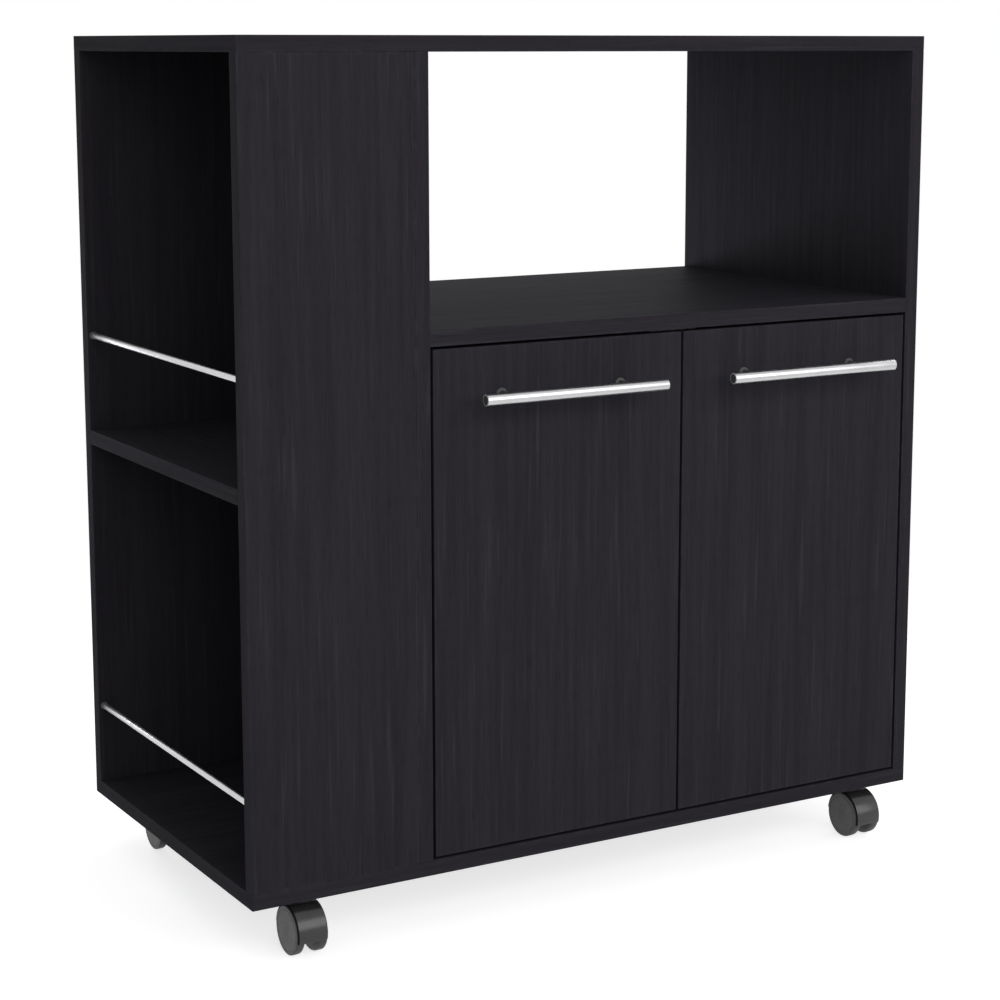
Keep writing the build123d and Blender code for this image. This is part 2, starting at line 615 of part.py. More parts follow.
def wheel(direction):
    """Wheel on one side of the caster: -1 for the left one, 1 for the right one."""
    face = (direction * WHEEL_OUTER, -CASTER_TRAIL, -AXLE_DROP)
    outward = (direction, 0, 0)
    inward = (-direction, 0, 0)
    tyre = rod(face, inward, WHEEL_DIAMETER, WHEEL_WIDTH)
    tyre = round_rim(tyre, outward, WHEEL_OUTER_RIM_RADIUS)
    tyre = round_rim(tyre, inward, WHEEL_INNER_RIM_RADIUS)
    ring_diameter = WHEEL_DIAMETER - 2 * WHEEL_RING_INSET
    ring = rod(face, inward, ring_diameter, WHEEL_RING_DEPTH)
    ring = ring - rod(face, inward, ring_diameter - 2 * WHEEL_RING_WIDTH, WHEEL_RING_DEPTH)
    bore_start = (direction * WHEEL_INNER, -CASTER_TRAIL, -AXLE_DROP)
    bore_diameter = AXLE_DIAMETER + 2 * AXLE_RUNNING
    bore = rod(bore_start, outward, bore_diameter, WHEEL_WIDTH - WHEEL_CAP)
    return tyre - ring - bore


def axle():
    return rod((-AXLE_HALF, -CASTER_TRAIL, -AXLE_DROP), (1, 0, 0), AXLE_DIAMETER, 2 * AXLE_HALF)


def hood():
    """Hood over both wheels, with a core between them that carries the axle and the swivel neck."""
    reach = 2 * HOOD_RADIUS
    front = math.radians(HOOD_FRONT_DROP)
    rear = math.radians(HOOD_REAR_RISE)
    wedge = Polygon((0, 0), (-reach * math.cos(front), -reach * math.sin(front)), (-reach, -2 * reach),
                    (reach, -2 * reach), (reach * math.cos(rear), reach * math.sin(rear)), align=None)
    side = Plane(origin=(0, -CASTER_TRAIL, -AXLE_DROP), x_dir=(0, 1, 0), z_dir=(1, 0, 0)).location
    sector = Circle(HOOD_RADIUS) - wedge
    hub = Circle(AXLE_DIAMETER / 2 + HOOD_HUB_WALL)
    core = side * extrude(sector + hub, amount=CORE_WIDTH / 2, both=True)
    skin = side * extrude(sector - Circle(POCKET_RADIUS), amount=WHEEL_OUTER - HOOD_SIDE_SETBACK, both=True)
    rims = skin.edges().filter_by(GeomType.CIRCLE).group_by(SortBy.RADIUS)[-1]
    skin = chamfer(rims, HOOD_RIM_CHAMFER)
    neck_top = (0, 0, -CASTER_PLATE_THICKNESS - NECK_CLEARANCE)
    neck = rod(neck_top, (0, 0, -1), NECK_DIAMETER, NECK_LENGTH)
    socket = rod(neck_top, (0, 0, -1), STEM_SOCKET, STEM_IN_NECK + STEM_END_SPACE)
    return core + skin + neck - socket - axle()


def stem():
    """Swivel stem riveted in the plate."""
    length = CASTER_PLATE_THICKNESS + NECK_CLEARANCE + STEM_IN_NECK
    return rod((0, 0, 0), (0, 0, -1), STEM_DIAMETER, length)


def caster_plate():
    half = CASTER_PLATE_SIZE / 2
    plate = block(-half, half, -half, half, -CASTER_PLATE_THICKNESS, 0)
    plate = fillet(plate.edges().filter_by(Axis.Z), CASTER_PLATE_CORNER)
    offset = CASTER_SCREW_SPACING / 2
    corners = [(x, y, -CASTER_PLATE_THICKNESS) for x in (-offset, offset) for y in (-offset, offset)]
    passes = [wood_screw_pass(corner, (0, 0, 1), CASTER_PLATE_THICKNESS) for corner in corners]
    return cut(plate, passes + [stem()])


# Write every sub-part

def write(name, *solids):
    """One STEP file for a sub-part of one or more solids."""
    shape = solids[0] if len(solids) == 1 else Compound(children=list(solids))
    export_step(shape, os.path.join("parts", name + ".step"))


def write_carcass():
    write("top_panel", top_panel())
    write("bottom_panel", bottom_panel())
    write("right_side_panel", right_side_panel())
    write("divider_panel", divider_panel())
    write("left_front_panel", left_end_wall(FRONT_Y))
    write("left_rear_panel", left_end_wall(BAY_BACK_Y))
    write("left_bay_shelf", left_bay_shelf())
    write("microwave_shelf", microwave_shelf())
    write("cabinet_back_panel", cabinet_back_panel())
    write("cabinet_inner_shelf", cabinet_inner_shelf())
    write("shelf_pins", *shelf_pins())
    joints = BOTTOM_JOINTS + TOP_JOINTS + LEFT_BAY_JOINTS + SHELF_JOINTS
    write("carcass_dowels", *[dowel(joint) for joint in joints])
    write("upper_guard_rail", UPPER_RAIL)
    write("lower_guard_rail", LOWER_RAIL)
    write("rail_ferrules", *rail_ferrules())
    write("door_catch", door_catch())
    write("catch_screws", *[wood_screw(seat, (0, 0, 1)) for seat in catch_screw_seats()])


def write_doors():
    plates = [hinge_plate(height) for height in HINGE_HEIGHTS]
    plate_screws = [wood_screw(seat, (-1, 0, 0)) for seat in plate_screw_seats()]
    write("hinge_mounting_plates", *plates, *for_side("right", plates))
    write("hinge_plate_screws", *plate_screws, *for_side("right", plate_screws))
    cup_seats = [seat for height in HINGE_HEIGHTS for seat in cup_screw_seats(height)]
    pieces = {
        "door": [door()],
        "handle_bar": [handle_bar()],
        "handle_posts": [handle_post(spot) for spot in post_spots()],
        "handle_screws": [handle_screw(spot) for spot in post_spots()],
        "hinge_cups": [hinge_cup(height) for height in HINGE_HEIGHTS],
        "hinge_cup_screws": [wood_screw(seat, (0, -1, 0)) for seat in cup_seats],
        "hinge_pins": [hinge_pin(height) for height in HINGE_HEIGHTS],
        "hinge_arms": [hinge_arm(height) for height in HINGE_HEIGHTS],
        "door_strike": [door_strike()],
    }
    for side in SIDES:
        for name, solids in pieces.items():
            write(f"{side}_{name}", *for_side(side, solids))


def write_casters():
    pieces = {"plate": caster_plate(), "hood": hood(), "axle": axle(),
              "left_wheel": wheel(-1), "right_wheel": wheel(1)}
    places = {corner: Pos(x, y, DECK_Z) for corner, (x, y) in CASTERS.items()}
    for corner, place in places.items():
        for name, solid in pieces.items():
            write(f"{corner}_caster_{name}", place * solid)
    write("caster_stems", *[place * stem() for place in places.values()])
    seats = [seat for spot in CASTERS.values() for seat in caster_screw_seats(spot)]
    write("caster_screws", *[wood_screw(seat, (0, 0, 1)) for seat in seats])


os.makedirs("parts", exist_ok=True)
write_carcass()
write_doors()
write_casters()
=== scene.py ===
import json
import math

import bmesh
import bpy
from bpy.props import FloatProperty, FloatVectorProperty, PointerProperty
from mathutils import Color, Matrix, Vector


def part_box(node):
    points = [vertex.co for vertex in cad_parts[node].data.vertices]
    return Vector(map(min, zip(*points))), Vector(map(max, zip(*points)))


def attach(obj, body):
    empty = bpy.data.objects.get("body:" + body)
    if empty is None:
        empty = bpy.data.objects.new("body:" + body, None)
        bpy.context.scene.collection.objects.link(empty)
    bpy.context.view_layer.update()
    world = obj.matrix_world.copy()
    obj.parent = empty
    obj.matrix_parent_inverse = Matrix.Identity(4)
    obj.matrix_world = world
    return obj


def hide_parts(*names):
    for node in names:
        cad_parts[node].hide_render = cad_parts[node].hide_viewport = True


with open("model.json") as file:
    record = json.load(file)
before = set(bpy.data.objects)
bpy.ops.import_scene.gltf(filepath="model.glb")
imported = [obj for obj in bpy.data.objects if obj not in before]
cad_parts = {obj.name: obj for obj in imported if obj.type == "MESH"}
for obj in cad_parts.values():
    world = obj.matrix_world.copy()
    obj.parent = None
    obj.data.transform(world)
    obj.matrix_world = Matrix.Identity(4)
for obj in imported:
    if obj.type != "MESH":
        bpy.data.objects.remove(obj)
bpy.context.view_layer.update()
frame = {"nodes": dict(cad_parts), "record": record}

bl_info = {
    "name": "Microwave stand",
    "version": (1, 0, 0),
    "blender": (4, 5, 0),
    "location": "View3D > Sidebar > Stand",
    "description": "Boards, doors, hardware, casters and a studio stage for a rolling microwave stand",
    "category": "Object",
}

MM = 0.001
MERGE = 1e-6
NEAR = 10 * MERGE
X_AXIS = Vector((1, 0, 0))
Y_AXIS = Vector((0, 1, 0))
Z_AXIS = Vector((0, 0, 1))
SIDES = ("left", "right")
CORNERS = ("front_left", "front_right", "rear_left", "rear_right")
BODY_OF = {node: body for body, nodes in frame["record"]["behaviour"]["bodies"].items() for node in nodes}

# Axis along which the grain of each board runs
BOARD_GRAIN = {
    "top_panel": 0,
    "bottom_panel": 0,
    "right_side_panel": 2,
    "divider_panel": 2,
    "left_front_panel": 2,
    "left_rear_panel": 2,
    "left_bay_shelf": 1,
    "microwave_shelf": 0,
    "cabinet_inner_shelf": 0,
    "cabinet_back_panel": 2,
}


# Sizes and colours that a user would change

class BoardLook(bpy.types.PropertyGroup):
    """Dark laminate boards and doors"""
    ground: FloatVectorProperty(
        name="Ground", description="Colour between the streaks", subtype="COLOR",
        default=(0.0224, 0.0205, 0.0256), min=0, max=1)
    streak: FloatVectorProperty(
        name="Streak", description="Colour of the lighter streaks", subtype="COLOR",
        default=(0.0274, 0.0255, 0.0313), min=0, max=1)
    warm: FloatVectorProperty(
        name="Warm streak", description="Colour of the few reddish streaks", subtype="COLOR",
        default=(0.0285, 0.0246, 0.0290), min=0, max=1)
    gleam: FloatVectorProperty(
        name="Pale streak", description="Colour of the few thin pale streaks", subtype="COLOR",
        default=(0.0345, 0.0330, 0.0385), min=0, max=1)
    worn: FloatVectorProperty(
        name="Worn edge", description="Colour where an edge is rubbed", subtype="COLOR",
        default=(0.058, 0.054, 0.060), min=0, max=1)
    back: FloatVectorProperty(
        name="Back board", description="Colour of the thin back board", subtype="COLOR",
        default=(0.036, 0.031, 0.029), min=0, max=1)
    fibre: FloatVectorProperty(
        name="Back fibre", description="Colour of the fibres in the back board", subtype="COLOR",
        default=(0.066, 0.056, 0.049), min=0, max=1)
    edge_radius: FloatProperty(
        name="Edge radius", description="Rounding of the board edges",
        default=0.5 * MM, min=0.05 * MM, max=2 * MM, unit="LENGTH")
    wear_width: FloatProperty(
        name="Wear width", description="How far rubbing reaches from an edge",
        default=2.0 * MM, min=0.2 * MM, max=6 * MM, unit="LENGTH")
    wear: FloatProperty(
        name="Wear", description="How rubbed the edges are", subtype="FACTOR",
        default=0.3, min=0, max=1)


class MetalLook(bpy.types.PropertyGroup):
    """Handles, guard rails, hinges and screws"""
    bar: FloatVectorProperty(
        name="Handle bar", description="Colour of the handle bars", subtype="COLOR",
        default=(0.57, 0.57, 0.58), min=0, max=1)
    rail: FloatVectorProperty(
        name="Guard rail", description="Colour of the guard rails", subtype="COLOR",
        default=(0.66, 0.66, 0.67), min=0, max=1)
    hinge: FloatVectorProperty(
        name="Hinge", description="Colour of the nickel hinges", subtype="COLOR",
        default=(0.52, 0.51, 0.49), min=0, max=1)
    screw: FloatVectorProperty(
        name="Screw", description="Colour of the zinc screws", subtype="COLOR",
        default=(0.46, 0.46, 0.45), min=0, max=1)
    post: FloatVectorProperty(
        name="Handle post", description="Colour of the dark handle posts", subtype="COLOR",
        default=(0.055, 0.055, 0.057), min=0, max=1)
    plug: FloatVectorProperty(
        name="Bar plug", description="Colour of the plugs in the bar ends", subtype="COLOR",
        default=(0.060, 0.060, 0.064), min=0, max=1)
    tip: FloatVectorProperty(
        name="Bar tip", description="Colour of the dull cut ends of the bar tubes", subtype="COLOR",
        default=(0.34, 0.34, 0.35), min=0, max=1)
    bar_wall: FloatProperty(
        name="Bar wall", description="Wall of the tube round each end plug",
        default=1.3 * MM, min=0.3 * MM, max=3 * MM, unit="LENGTH")
    plug_sink: FloatProperty(
        name="Plug sink", description="Depth of each end plug in its tube",
        default=0.4 * MM, min=0, max=3 * MM, unit="LENGTH")
    bar_lip: FloatProperty(
        name="Bar lip", description="Rounding of the bar's end edges",
        default=0.8 * MM, min=0.1 * MM, max=1.2 * MM, unit="LENGTH")


class CasterLook(bpy.types.PropertyGroup):
    """Twin-wheel casters"""
    hood: FloatVectorProperty(
        name="Hood", description="Colour of the glossy hoods", subtype="COLOR",
        default=(0.020, 0.020, 0.021), min=0, max=1)
    # The rim colour is painted shade: near black on the hood's side rims, where it stands for the shadow in the gap
    # between hood and wheel.
    rim: FloatVectorProperty(
        name="Hood rim", description="Colour of the matt rims beside the wheels", subtype="COLOR",
        default=(0.0060, 0.0060, 0.0062), min=0, max=1)
    disc: FloatVectorProperty(
        name="Disc", description="Colour of the wheel discs", subtype="COLOR",
        default=(0.070, 0.070, 0.071), min=0, max=1)
    tread: FloatVectorProperty(
        name="Tread", description="Colour of the wheel treads", subtype="COLOR",
        default=(0.045, 0.045, 0.046), min=0, max=1)
    hood_edge: FloatProperty(
        name="Hood edge", description="Rounding of the hood's rims",
        default=0.25 * MM, min=0.05 * MM, max=0.5 * MM, unit="LENGTH")


class StageLook(bpy.types.PropertyGroup):
    """Floor, lamps and camera"""
    floor: FloatVectorProperty(
        name="Floor", description="Colour of the studio floor", subtype="COLOR",
        default=(0.62, 0.62, 0.62), min=0, max=1)
    lift: FloatProperty(
        name="Floor lift", description="White added to the floor as the camera sees it",
        default=0.70, min=0, max=1)
    air: FloatProperty(
        name="Air", description="Strength of the even light from all round",
        default=0.43, min=0, max=2)
    key: FloatProperty(
        name="Key lamp", description="Power of the large front lamp", subtype="POWER",
        default=102.0, min=0, max=500)
    back: FloatProperty(
        name="Back lamp", description="Power of the lamp behind the open bay", subtype="POWER",
        default=17.0, min=0, max=500)
    side: FloatProperty(
        name="Side lamp", description="Power of the lamp on the closed side", subtype="POWER",
        default=36.0, min=0, max=500)
    lens: FloatProperty(
        name="Lens", description="Focal length of the camera in millimetres",
        default=83.59, min=10, max=300)


# Mesh helpers: FLAT is the least part of a normal along an axis for a face that counts as square to it
FLAT = 0.999


def add_box(bm, low, high):
    """Box between two corners; gives its vertices."""
    made = bmesh.ops.create_cube(bm, size=1.0)["verts"]
    bmesh.ops.scale(bm, vec=high - low, verts=made)
    bmesh.ops.translate(bm, vec=(low + high) / 2, verts=made)
    return made


def round_edges(bm, edges, radius, segments=3):
    """Roll over a list of edges."""
    bmesh.ops.bevel(bm, geom=list(edges), offset=radius, offset_type="OFFSET", affect="EDGES",
                    segments=segments, profile=0.5, material=-1, clamp_overlap=True)


def edges_of(verts):
    """Edges between vertices of a list, each once."""
    inside = set(verts)
    return list(dict.fromkeys(edge for vert in verts for edge in vert.link_edges if edge.other_vert(vert) in inside))


def sharp_edges(edges, degrees):
    """Edges whose two faces meet at more than an angle."""
    limit = math.radians(degrees)
    return [edge for edge in edges if edge.is_manifold and edge.calc_face_angle(0.0) > limit]


def close_up(bm, before):
    """Merge the doubles of the vertices that weren't there before, and face their faces outwards."""
    made = [vert for vert in bm.verts if vert not in before]
    bmesh.ops.remove_doubles(bm, verts=made, dist=MERGE)
    made = [vert for vert in made if vert.is_valid]
    faces = dict.fromkeys(face for vert in made for face in vert.link_faces)
    bmesh.ops.recalc_face_normals(bm, faces=list(faces))
    return made


def lathe(bm, profile, origin, axis, steps=40, closed=False):
    """Turn (radius, height) points about an axis through an origin; gives the vertices."""
    before = set(bm.verts)
    turn = Z_AXIS.rotation_difference(axis).to_matrix()
    line = [bm.verts.new(origin + turn @ Vector((radius, 0, height))) for radius, height in profile]
    pairs = list(zip(line, line[1:]))
    if closed:
        pairs.append((line[-1], line[0]))
    edges = [bm.edges.new(pair) for pair in pairs]
    bmesh.ops.spin(bm, geom=line + edges, cent=origin, axis=axis, dvec=(0, 0, 0),
                   angle=2 * math.pi, steps=steps, use_merge=True)
    return close_up(bm, before)


def roll_rings(bm, verts, origin, axis, rings, rounding, segments=3):
    """Roll over the edges of a turned shape that lie on circles given as (radius, height)."""
    def on_ring(vert, radius, height):
        along = (vert.co - origin).dot(axis)
        out = (vert.co - origin - axis * along).length
        return abs(along - height) < NEAR and abs(out - radius) < NEAR

    edges = [edge for ring in rings for edge in edges_of([vert for vert in verts if on_ring(vert, *ring)])]
    round_edges(bm, edges, rounding, segments)


def shade_round(bm, degrees=34):
    """Smooth shading, broken at the sharper edges."""
    limit = math.radians(degrees)
    for face in bm.faces:
        face.smooth = True
    for edge in bm.edges:
        edge.smooth = edge.is_manifold and edge.calc_face_angle(0.0) < limit


def put(bm, name, nodes, *materials):
    """Turn a finished bmesh into a piece that rides with its CAD nodes' body and stands for them."""
    mesh = bpy.data.meshes.new(name)
    bm.to_mesh(mesh)
    bm.free()
    if "custom_normal" in mesh.attributes:
        mesh.attributes.remove(mesh.attributes["custom_normal"])
    for material in materials:
        mesh.materials.append(material)
    piece = bpy.data.objects.new(name, mesh)
    bpy.context.scene.collection.objects.link(piece)
    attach(piece, BODY_OF[nodes[0]])
    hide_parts(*nodes)


def dress(node, material):
    """Give a CAD node that stays in view its finish."""
    slots = frame["nodes"][node].data.materials
    slots.clear()
    slots.append(material)


# Finishes: sockets of a colour mix, usual spans of one noise and of two added together, and the rubbed edges
MIX_INPUTS = (0, 6, 7)
MIX_RESULT = 2
SPAN = (0.3, 0.7)
TWO_LAYERS = (0.7, 1.3)
RUB_EDGE = (0.52, 0.60)
RUB_SCALE = 260.0
RUB_PATCH = (0.42, 0.62)


class Tree:
    """A node tree in the making, with short ways to add nodes."""

    def __init__(self, tree):
        self.nodes = tree.nodes
        self.links = tree.links

    def add(self, kind, **settings):
        made = self.nodes.new(kind)
        for key, value in settings.items():
            setattr(made, key, value)
        return made

    def plug(self, socket, value):
        """Link a socket to another, or set its own value."""
        if isinstance(value, bpy.types.NodeSocket):
            self.links.new(value, socket)
        else:
            socket.default_value = value

    def fill(self, node, *values, **named):
        """Plug values into a node's inputs, in order or named with underscores for spaces."""
        for socket, value in zip(node.inputs, values):
            self.plug(socket, value)
        for key, value in named.items():
            self.plug(node.inputs[key.replace("_", " ")], value)
        return node

    def place(self):
        return self.add("ShaderNodeTexCoord").outputs["Object"]

    def stretch(self, vector, scale):
        return self.fill(self.add("ShaderNodeMapping"), Vector=vector, Scale=scale).outputs["Vector"]

    def shift(self, vector, by):
        return self.fill(self.add("ShaderNodeVectorMath", operation="ADD"), vector, by).outputs["Vector"]

    def noise(self, vector, scale, detail=2.0, roughness=0.5):
        """Noise of one scale, or of a scale for each axis."""
        if isinstance(scale, tuple):
            vector, scale = self.stretch(vector, scale), 1.0
        made = self.add("ShaderNodeTexNoise")
        return self.fill(made, Vector=vector, Scale=scale, Detail=detail, Roughness=roughness).outputs["Fac"]

    def spread(self, value, low, high, to_low=0.0, to_high=1.0):
        made = self.add("ShaderNodeMapRange")
        self.fill(made, Value=value, From_Min=low, From_Max=high, To_Min=to_low, To_Max=to_high)
        return made.outputs["Result"]

    def reckon(self, operation, first, second):
        return self.fill(self.add("ShaderNodeMath", operation=operation), first, second).outputs["Value"]

    def mix(self, factor, first, second, blend="MIX"):
        """Mix of two colours."""
        made = self.add("ShaderNodeMix", data_type="RGBA", blend_type=blend)
        for index, value in zip(MIX_INPUTS, (factor, first, second)):
            if isinstance(value, (tuple, list, Color)):
                value = (*value, 1.0)
            self.plug(made.inputs[index], value)
        return made.outputs[MIX_RESULT]

    def blend(self, factor, first, second):
        """Mix of two shaders."""
        return self.fill(self.add("ShaderNodeMixShader"), factor, first, second).outputs["Shader"]

    def glow(self, kind, strength):
        """Plain white light."""
        return self.fill(self.add(kind), Color=(1.0, 1.0, 1.0, 1.0), Strength=strength).outputs[0]

    def seen(self):
        """One for rays from the camera and for the reflections and refractions that show the stage."""
        path = self.add("ShaderNodeLightPath").outputs
        first = self.reckon("MAXIMUM", path["Is Camera Ray"], path["Is Glossy Ray"])
        return self.reckon("MAXIMUM", first, path["Is Transmission Ray"])


class Finish(Tree):
    """A material in the making."""

    def __init__(self, name):
        self.material = bpy.data.materials.new(name)
        self.material.use_nodes = True
        super().__init__(self.material.node_tree)
        self.shader = self.nodes["Principled BSDF"]

    def set(self, **values):
        self.fill(self.shader, **values)

    def bump(self, height, distance, strength):
        made = self.fill(self.add("ShaderNodeBump"), Height=height, Distance=distance, Strength=strength)
        self.set(Normal=made.outputs["Normal"])

    def rubbed(self):
        """Convex edges of a moulded or pressed piece, broken up by noise."""
        edge = self.spread(self.add("ShaderNodeNewGeometry").outputs["Pointiness"], *RUB_EDGE)
        patch = self.spread(self.noise(self.place(), RUB_SCALE, detail=3.0), *RUB_PATCH)
        return self.reckon("MULTIPLY", edge, patch)


def kept(name, make):
    """A finish by name, made on first use."""
    return bpy.data.materials.get(name) or make(name)


def scaled(colour, factor):
    """A colour darkened or lightened."""
    return [min(1.0, factor * part) for part in colour]


# Laminate: scales of each layer of the figure, along and across the grain, and where it begins and ends
SWAY = 0.004
SWAY_SCALE = (1.4, 9.0, 1.0)
BAND_SCALE = (1.2, 40.0, 1.0)
STREAK_SCALE = (5.0, 135.0, 1.0)
PORE_SCALE = (46.0, 1500.0, 1.0)
WARM_SCALE = (3.0, 110.0, 3.0)
GLEAM_SCALE = (7.0, 210.0, 7.0)
BAND_SHARE = 0.45
TONE_SPAN = (0.40, 0.60)
WARM_SPAN = (0.56, 0.74)
WARM_MOST = 0.8
GLEAM_SPAN = (0.60, 0.76)
GLEAM_MOST = 0.85
PORE_SPAN = (0.30, 0.46)
PORE_DARK = 0.72
WEAR_SCALE = 55.0
WEAR_SPAN = (0.45, 0.70)
BOARD_GLOSS = 0.012
BOARD_ROUGH = (0.64, 0.56)
STREAK_RELIEF = 0.5
BOARD_RELIEF = 0.12 * MM


def laminate(name):
    """Dark wood laminate: fine long streaks with a few reddish ones, closed pores and rubbed edges."""
    look = bpy.context.scene.stand_boards
    finish = Finish(name)
    grain = finish.add("ShaderNodeUVMap", uv_map="grain").outputs["UV"]
    swing = finish.add("ShaderNodeCombineXYZ")
    finish.fill(swing, Y=finish.spread(finish.noise(grain, SWAY_SCALE, detail=1.0), 0.0, 1.0, -SWAY, SWAY))
    figure = finish.shift(grain, swing.outputs["Vector"])
    band = finish.noise(figure, BAND_SCALE)
    streak = finish.noise(figure, STREAK_SCALE, detail=3.0, roughness=0.55)
    pore = finish.noise(figure, PORE_SCALE)
    tone = finish.reckon("ADD", finish.reckon("MULTIPLY", band, BAND_SHARE),
                         finish.reckon("MULTIPLY", streak, 1 - BAND_SHARE))
    colour = finish.mix(finish.spread(tone, *TONE_SPAN), look.ground, look.streak)
    red = finish.noise(figure, WARM_SCALE)
    colour = finish.mix(finish.spread(red, *WARM_SPAN, 0.0, WARM_MOST), colour, look.warm)
    pale = finish.noise(figure, GLEAM_SCALE, detail=1.0)
    colour = finish.mix(finish.spread(pale, *GLEAM_SPAN, 0.0, GLEAM_MOST), colour, look.gleam)
    colour = finish.mix(1.0, colour, finish.spread(pore, *PORE_SPAN, PORE_DARK), "MULTIPLY")
    rub = finish.add("ShaderNodeAttribute", attribute_name="wear").outputs["Fac"]
    patch = finish.noise(finish.place(), WEAR_SCALE, detail=4.0, roughness=0.65)
    rub = finish.reckon("MULTIPLY", rub, finish.spread(patch, *WEAR_SPAN, 0.0, look.wear))
    colour = finish.mix(rub, colour, look.worn)
    rough = finish.spread(finish.reckon("ADD", streak, pore), *TWO_LAYERS, *BOARD_ROUGH)
    finish.set(Base_Color=colour, Specular_IOR_Level=BOARD_GLOSS, Roughness=rough)
    ridge = finish.reckon("ADD", finish.reckon("MULTIPLY", streak, STREAK_RELIEF), pore)
    finish.bump(ridge, BOARD_RELIEF, strength=0.45)
    return finish.material


# Hardboard: cloud, wander and screen scales, and how far the fibres bend and stand out
CLOUD_SCALE = 7.0
CLOUD_DARK = 0.82
WANDER_SCALE = 60.0
WANDER_REACH = 0.012
FIBRE_LONG = 160.0
FIBRE_FINE = 820.0
FIBRE_SPAN = (0.56, 0.76)
FIBRE_MOST = 0.85
FIBRE_ROUGH = (0.4, 0.7, 0.62, 0.78)
SCREEN_SCALE = 640.0
SCREEN_RANDOM = 0.25
SCREEN_RELIEF = 0.6
BACK_GLOSS = 0.05


def hard_board(name):
    """Thin dark hardboard: matted fibres, a pressed screen pattern and cloudy tone."""
    look = bpy.context.scene.stand_boards
    finish = Finish(name)
    place = finish.place()
    cloud = finish.noise(place, CLOUD_SCALE, detail=4.0, roughness=0.6)
    wander = finish.fill(finish.add("ShaderNodeTexNoise"), Vector=place, Scale=WANDER_SCALE).outputs["Color"]
    bend = finish.add("ShaderNodeVectorMath", operation="SCALE")
    finish.fill(bend, Vector=wander, Scale=WANDER_REACH)
    matted = finish.shift(place, bend.outputs["Vector"])
    flat = finish.noise(matted, (FIBRE_LONG, FIBRE_LONG, FIBRE_FINE), detail=3.0, roughness=0.6)
    upright = finish.noise(matted, (FIBRE_FINE, FIBRE_LONG, FIBRE_LONG), detail=3.0, roughness=0.6)
    fibre = finish.reckon("MAXIMUM", flat, upright)
    screen = finish.add("ShaderNodeTexVoronoi", feature="F1", distance="CHEBYCHEV")
    finish.fill(screen, Vector=finish.stretch(place, (SCREEN_SCALE, 1.0, SCREEN_SCALE)), Scale=1.0,
                Randomness=SCREEN_RANDOM)
    colour = finish.mix(finish.spread(cloud, *SPAN), scaled(look.back, CLOUD_DARK), look.back)
    colour = finish.mix(finish.spread(fibre, *FIBRE_SPAN, 0.0, FIBRE_MOST), colour, look.fibre)
    finish.set(Base_Color=colour, Specular_IOR_Level=BACK_GLOSS, Roughness=finish.spread(fibre, *FIBRE_ROUGH))
    pressed = finish.reckon("MULTIPLY", screen.outputs["Distance"], SCREEN_RELIEF)
    finish.bump(finish.reckon("ADD", fibre, pressed), BOARD_RELIEF, strength=0.5)
    return finish.material


# Metal, plastic and dowel wood: scales of the marks, and how far they darken or lighten the colour
DULL_SCALE = 38.0
DULL_DARK = 0.9
LINE_SPAN = (0.35, 0.65)
LINE_MOST = 0.35
LINE_DARK = 0.82
PEEL_SCALE = 900.0
PEEL_DEPTH = 0.03 * MM
PLATING_SCALE = 70.0
PLATING_DARK = 0.78
PLATING_BRIGHT = 1.5
SMUDGE_SCALE = 90.0
SMUDGE_DARK = 0.87
PALE_FACTOR = 2.2
PALE_LIFT = 0.02
PALE_MOST = 0.6
FLECK_SCALE = (300.0, 300.0, 60.0)
FLECK_DEPTH = 0.08 * MM
BEECH_DARK = (0.50, 0.34, 0.19)
BEECH_PALE = (0.62, 0.45, 0.27)
BEECH_ROUGH = (0.6, 0.75)


def drawn_metal(name, colour, lines, rough, depth):
    """Metal with drawing lines along one axis and faint cloudy dulling."""
    finish = Finish(name)
    place = finish.place()
    line = finish.noise(place, lines, detail=3.0, roughness=0.6)
    dull = finish.noise(place, DULL_SCALE, detail=3.0)
    shade = finish.mix(finish.spread(dull, *SPAN), scaled(colour, DULL_DARK), colour)
    shade = finish.mix(finish.spread(line, *LINE_SPAN, 0.0, LINE_MOST), shade, scaled(colour, LINE_DARK))
    finish.set(Base_Color=shade, Metallic=1.0)
    finish.set(Roughness=finish.spread(finish.reckon("ADD", line, dull), *TWO_LAYERS, *rough))
    finish.bump(line, depth, strength=0.3)
    return finish.material


def pressed_metal(name, colour, rough):
    """Plated sheet or turned steel with fine orange peel and bright rubbed edges."""
    finish = Finish(name)
    place = finish.place()
    peel = finish.noise(place, PEEL_SCALE)
    cloud = finish.noise(place, PLATING_SCALE, detail=4.0, roughness=0.6)
    shade = finish.mix(finish.spread(cloud, *SPAN), scaled(colour, PLATING_DARK), colour)
    shade = finish.mix(finish.rubbed(), shade, scaled(colour, PLATING_BRIGHT))
    finish.set(Base_Color=shade, Metallic=1.0, Roughness=finish.spread(cloud, *SPAN, *rough))
    finish.bump(peel, PEEL_DEPTH, strength=0.3)
    return finish.material


def moulded(name, colour, rough, grain, depth, gloss):
    """Moulded plastic with a fine skin grain, hand smudges and paler rubbed edges."""
    finish = Finish(name)
    place = finish.place()
    skin = finish.noise(place, grain)
    smudge = finish.noise(place, SMUDGE_SCALE, detail=4.0, roughness=0.6)
    shade = finish.mix(finish.spread(smudge, *SPAN), scaled(colour, SMUDGE_DARK), colour)
    pale = [min(1.0, PALE_FACTOR * part + PALE_LIFT) for part in colour]
    shade = finish.mix(finish.reckon("MULTIPLY", finish.rubbed(), PALE_MOST), shade, pale)
    finish.set(Base_Color=shade, Specular_IOR_Level=gloss, Roughness=finish.spread(smudge, *SPAN, *rough))
    finish.bump(skin, depth, strength=0.35)
    return finish.material


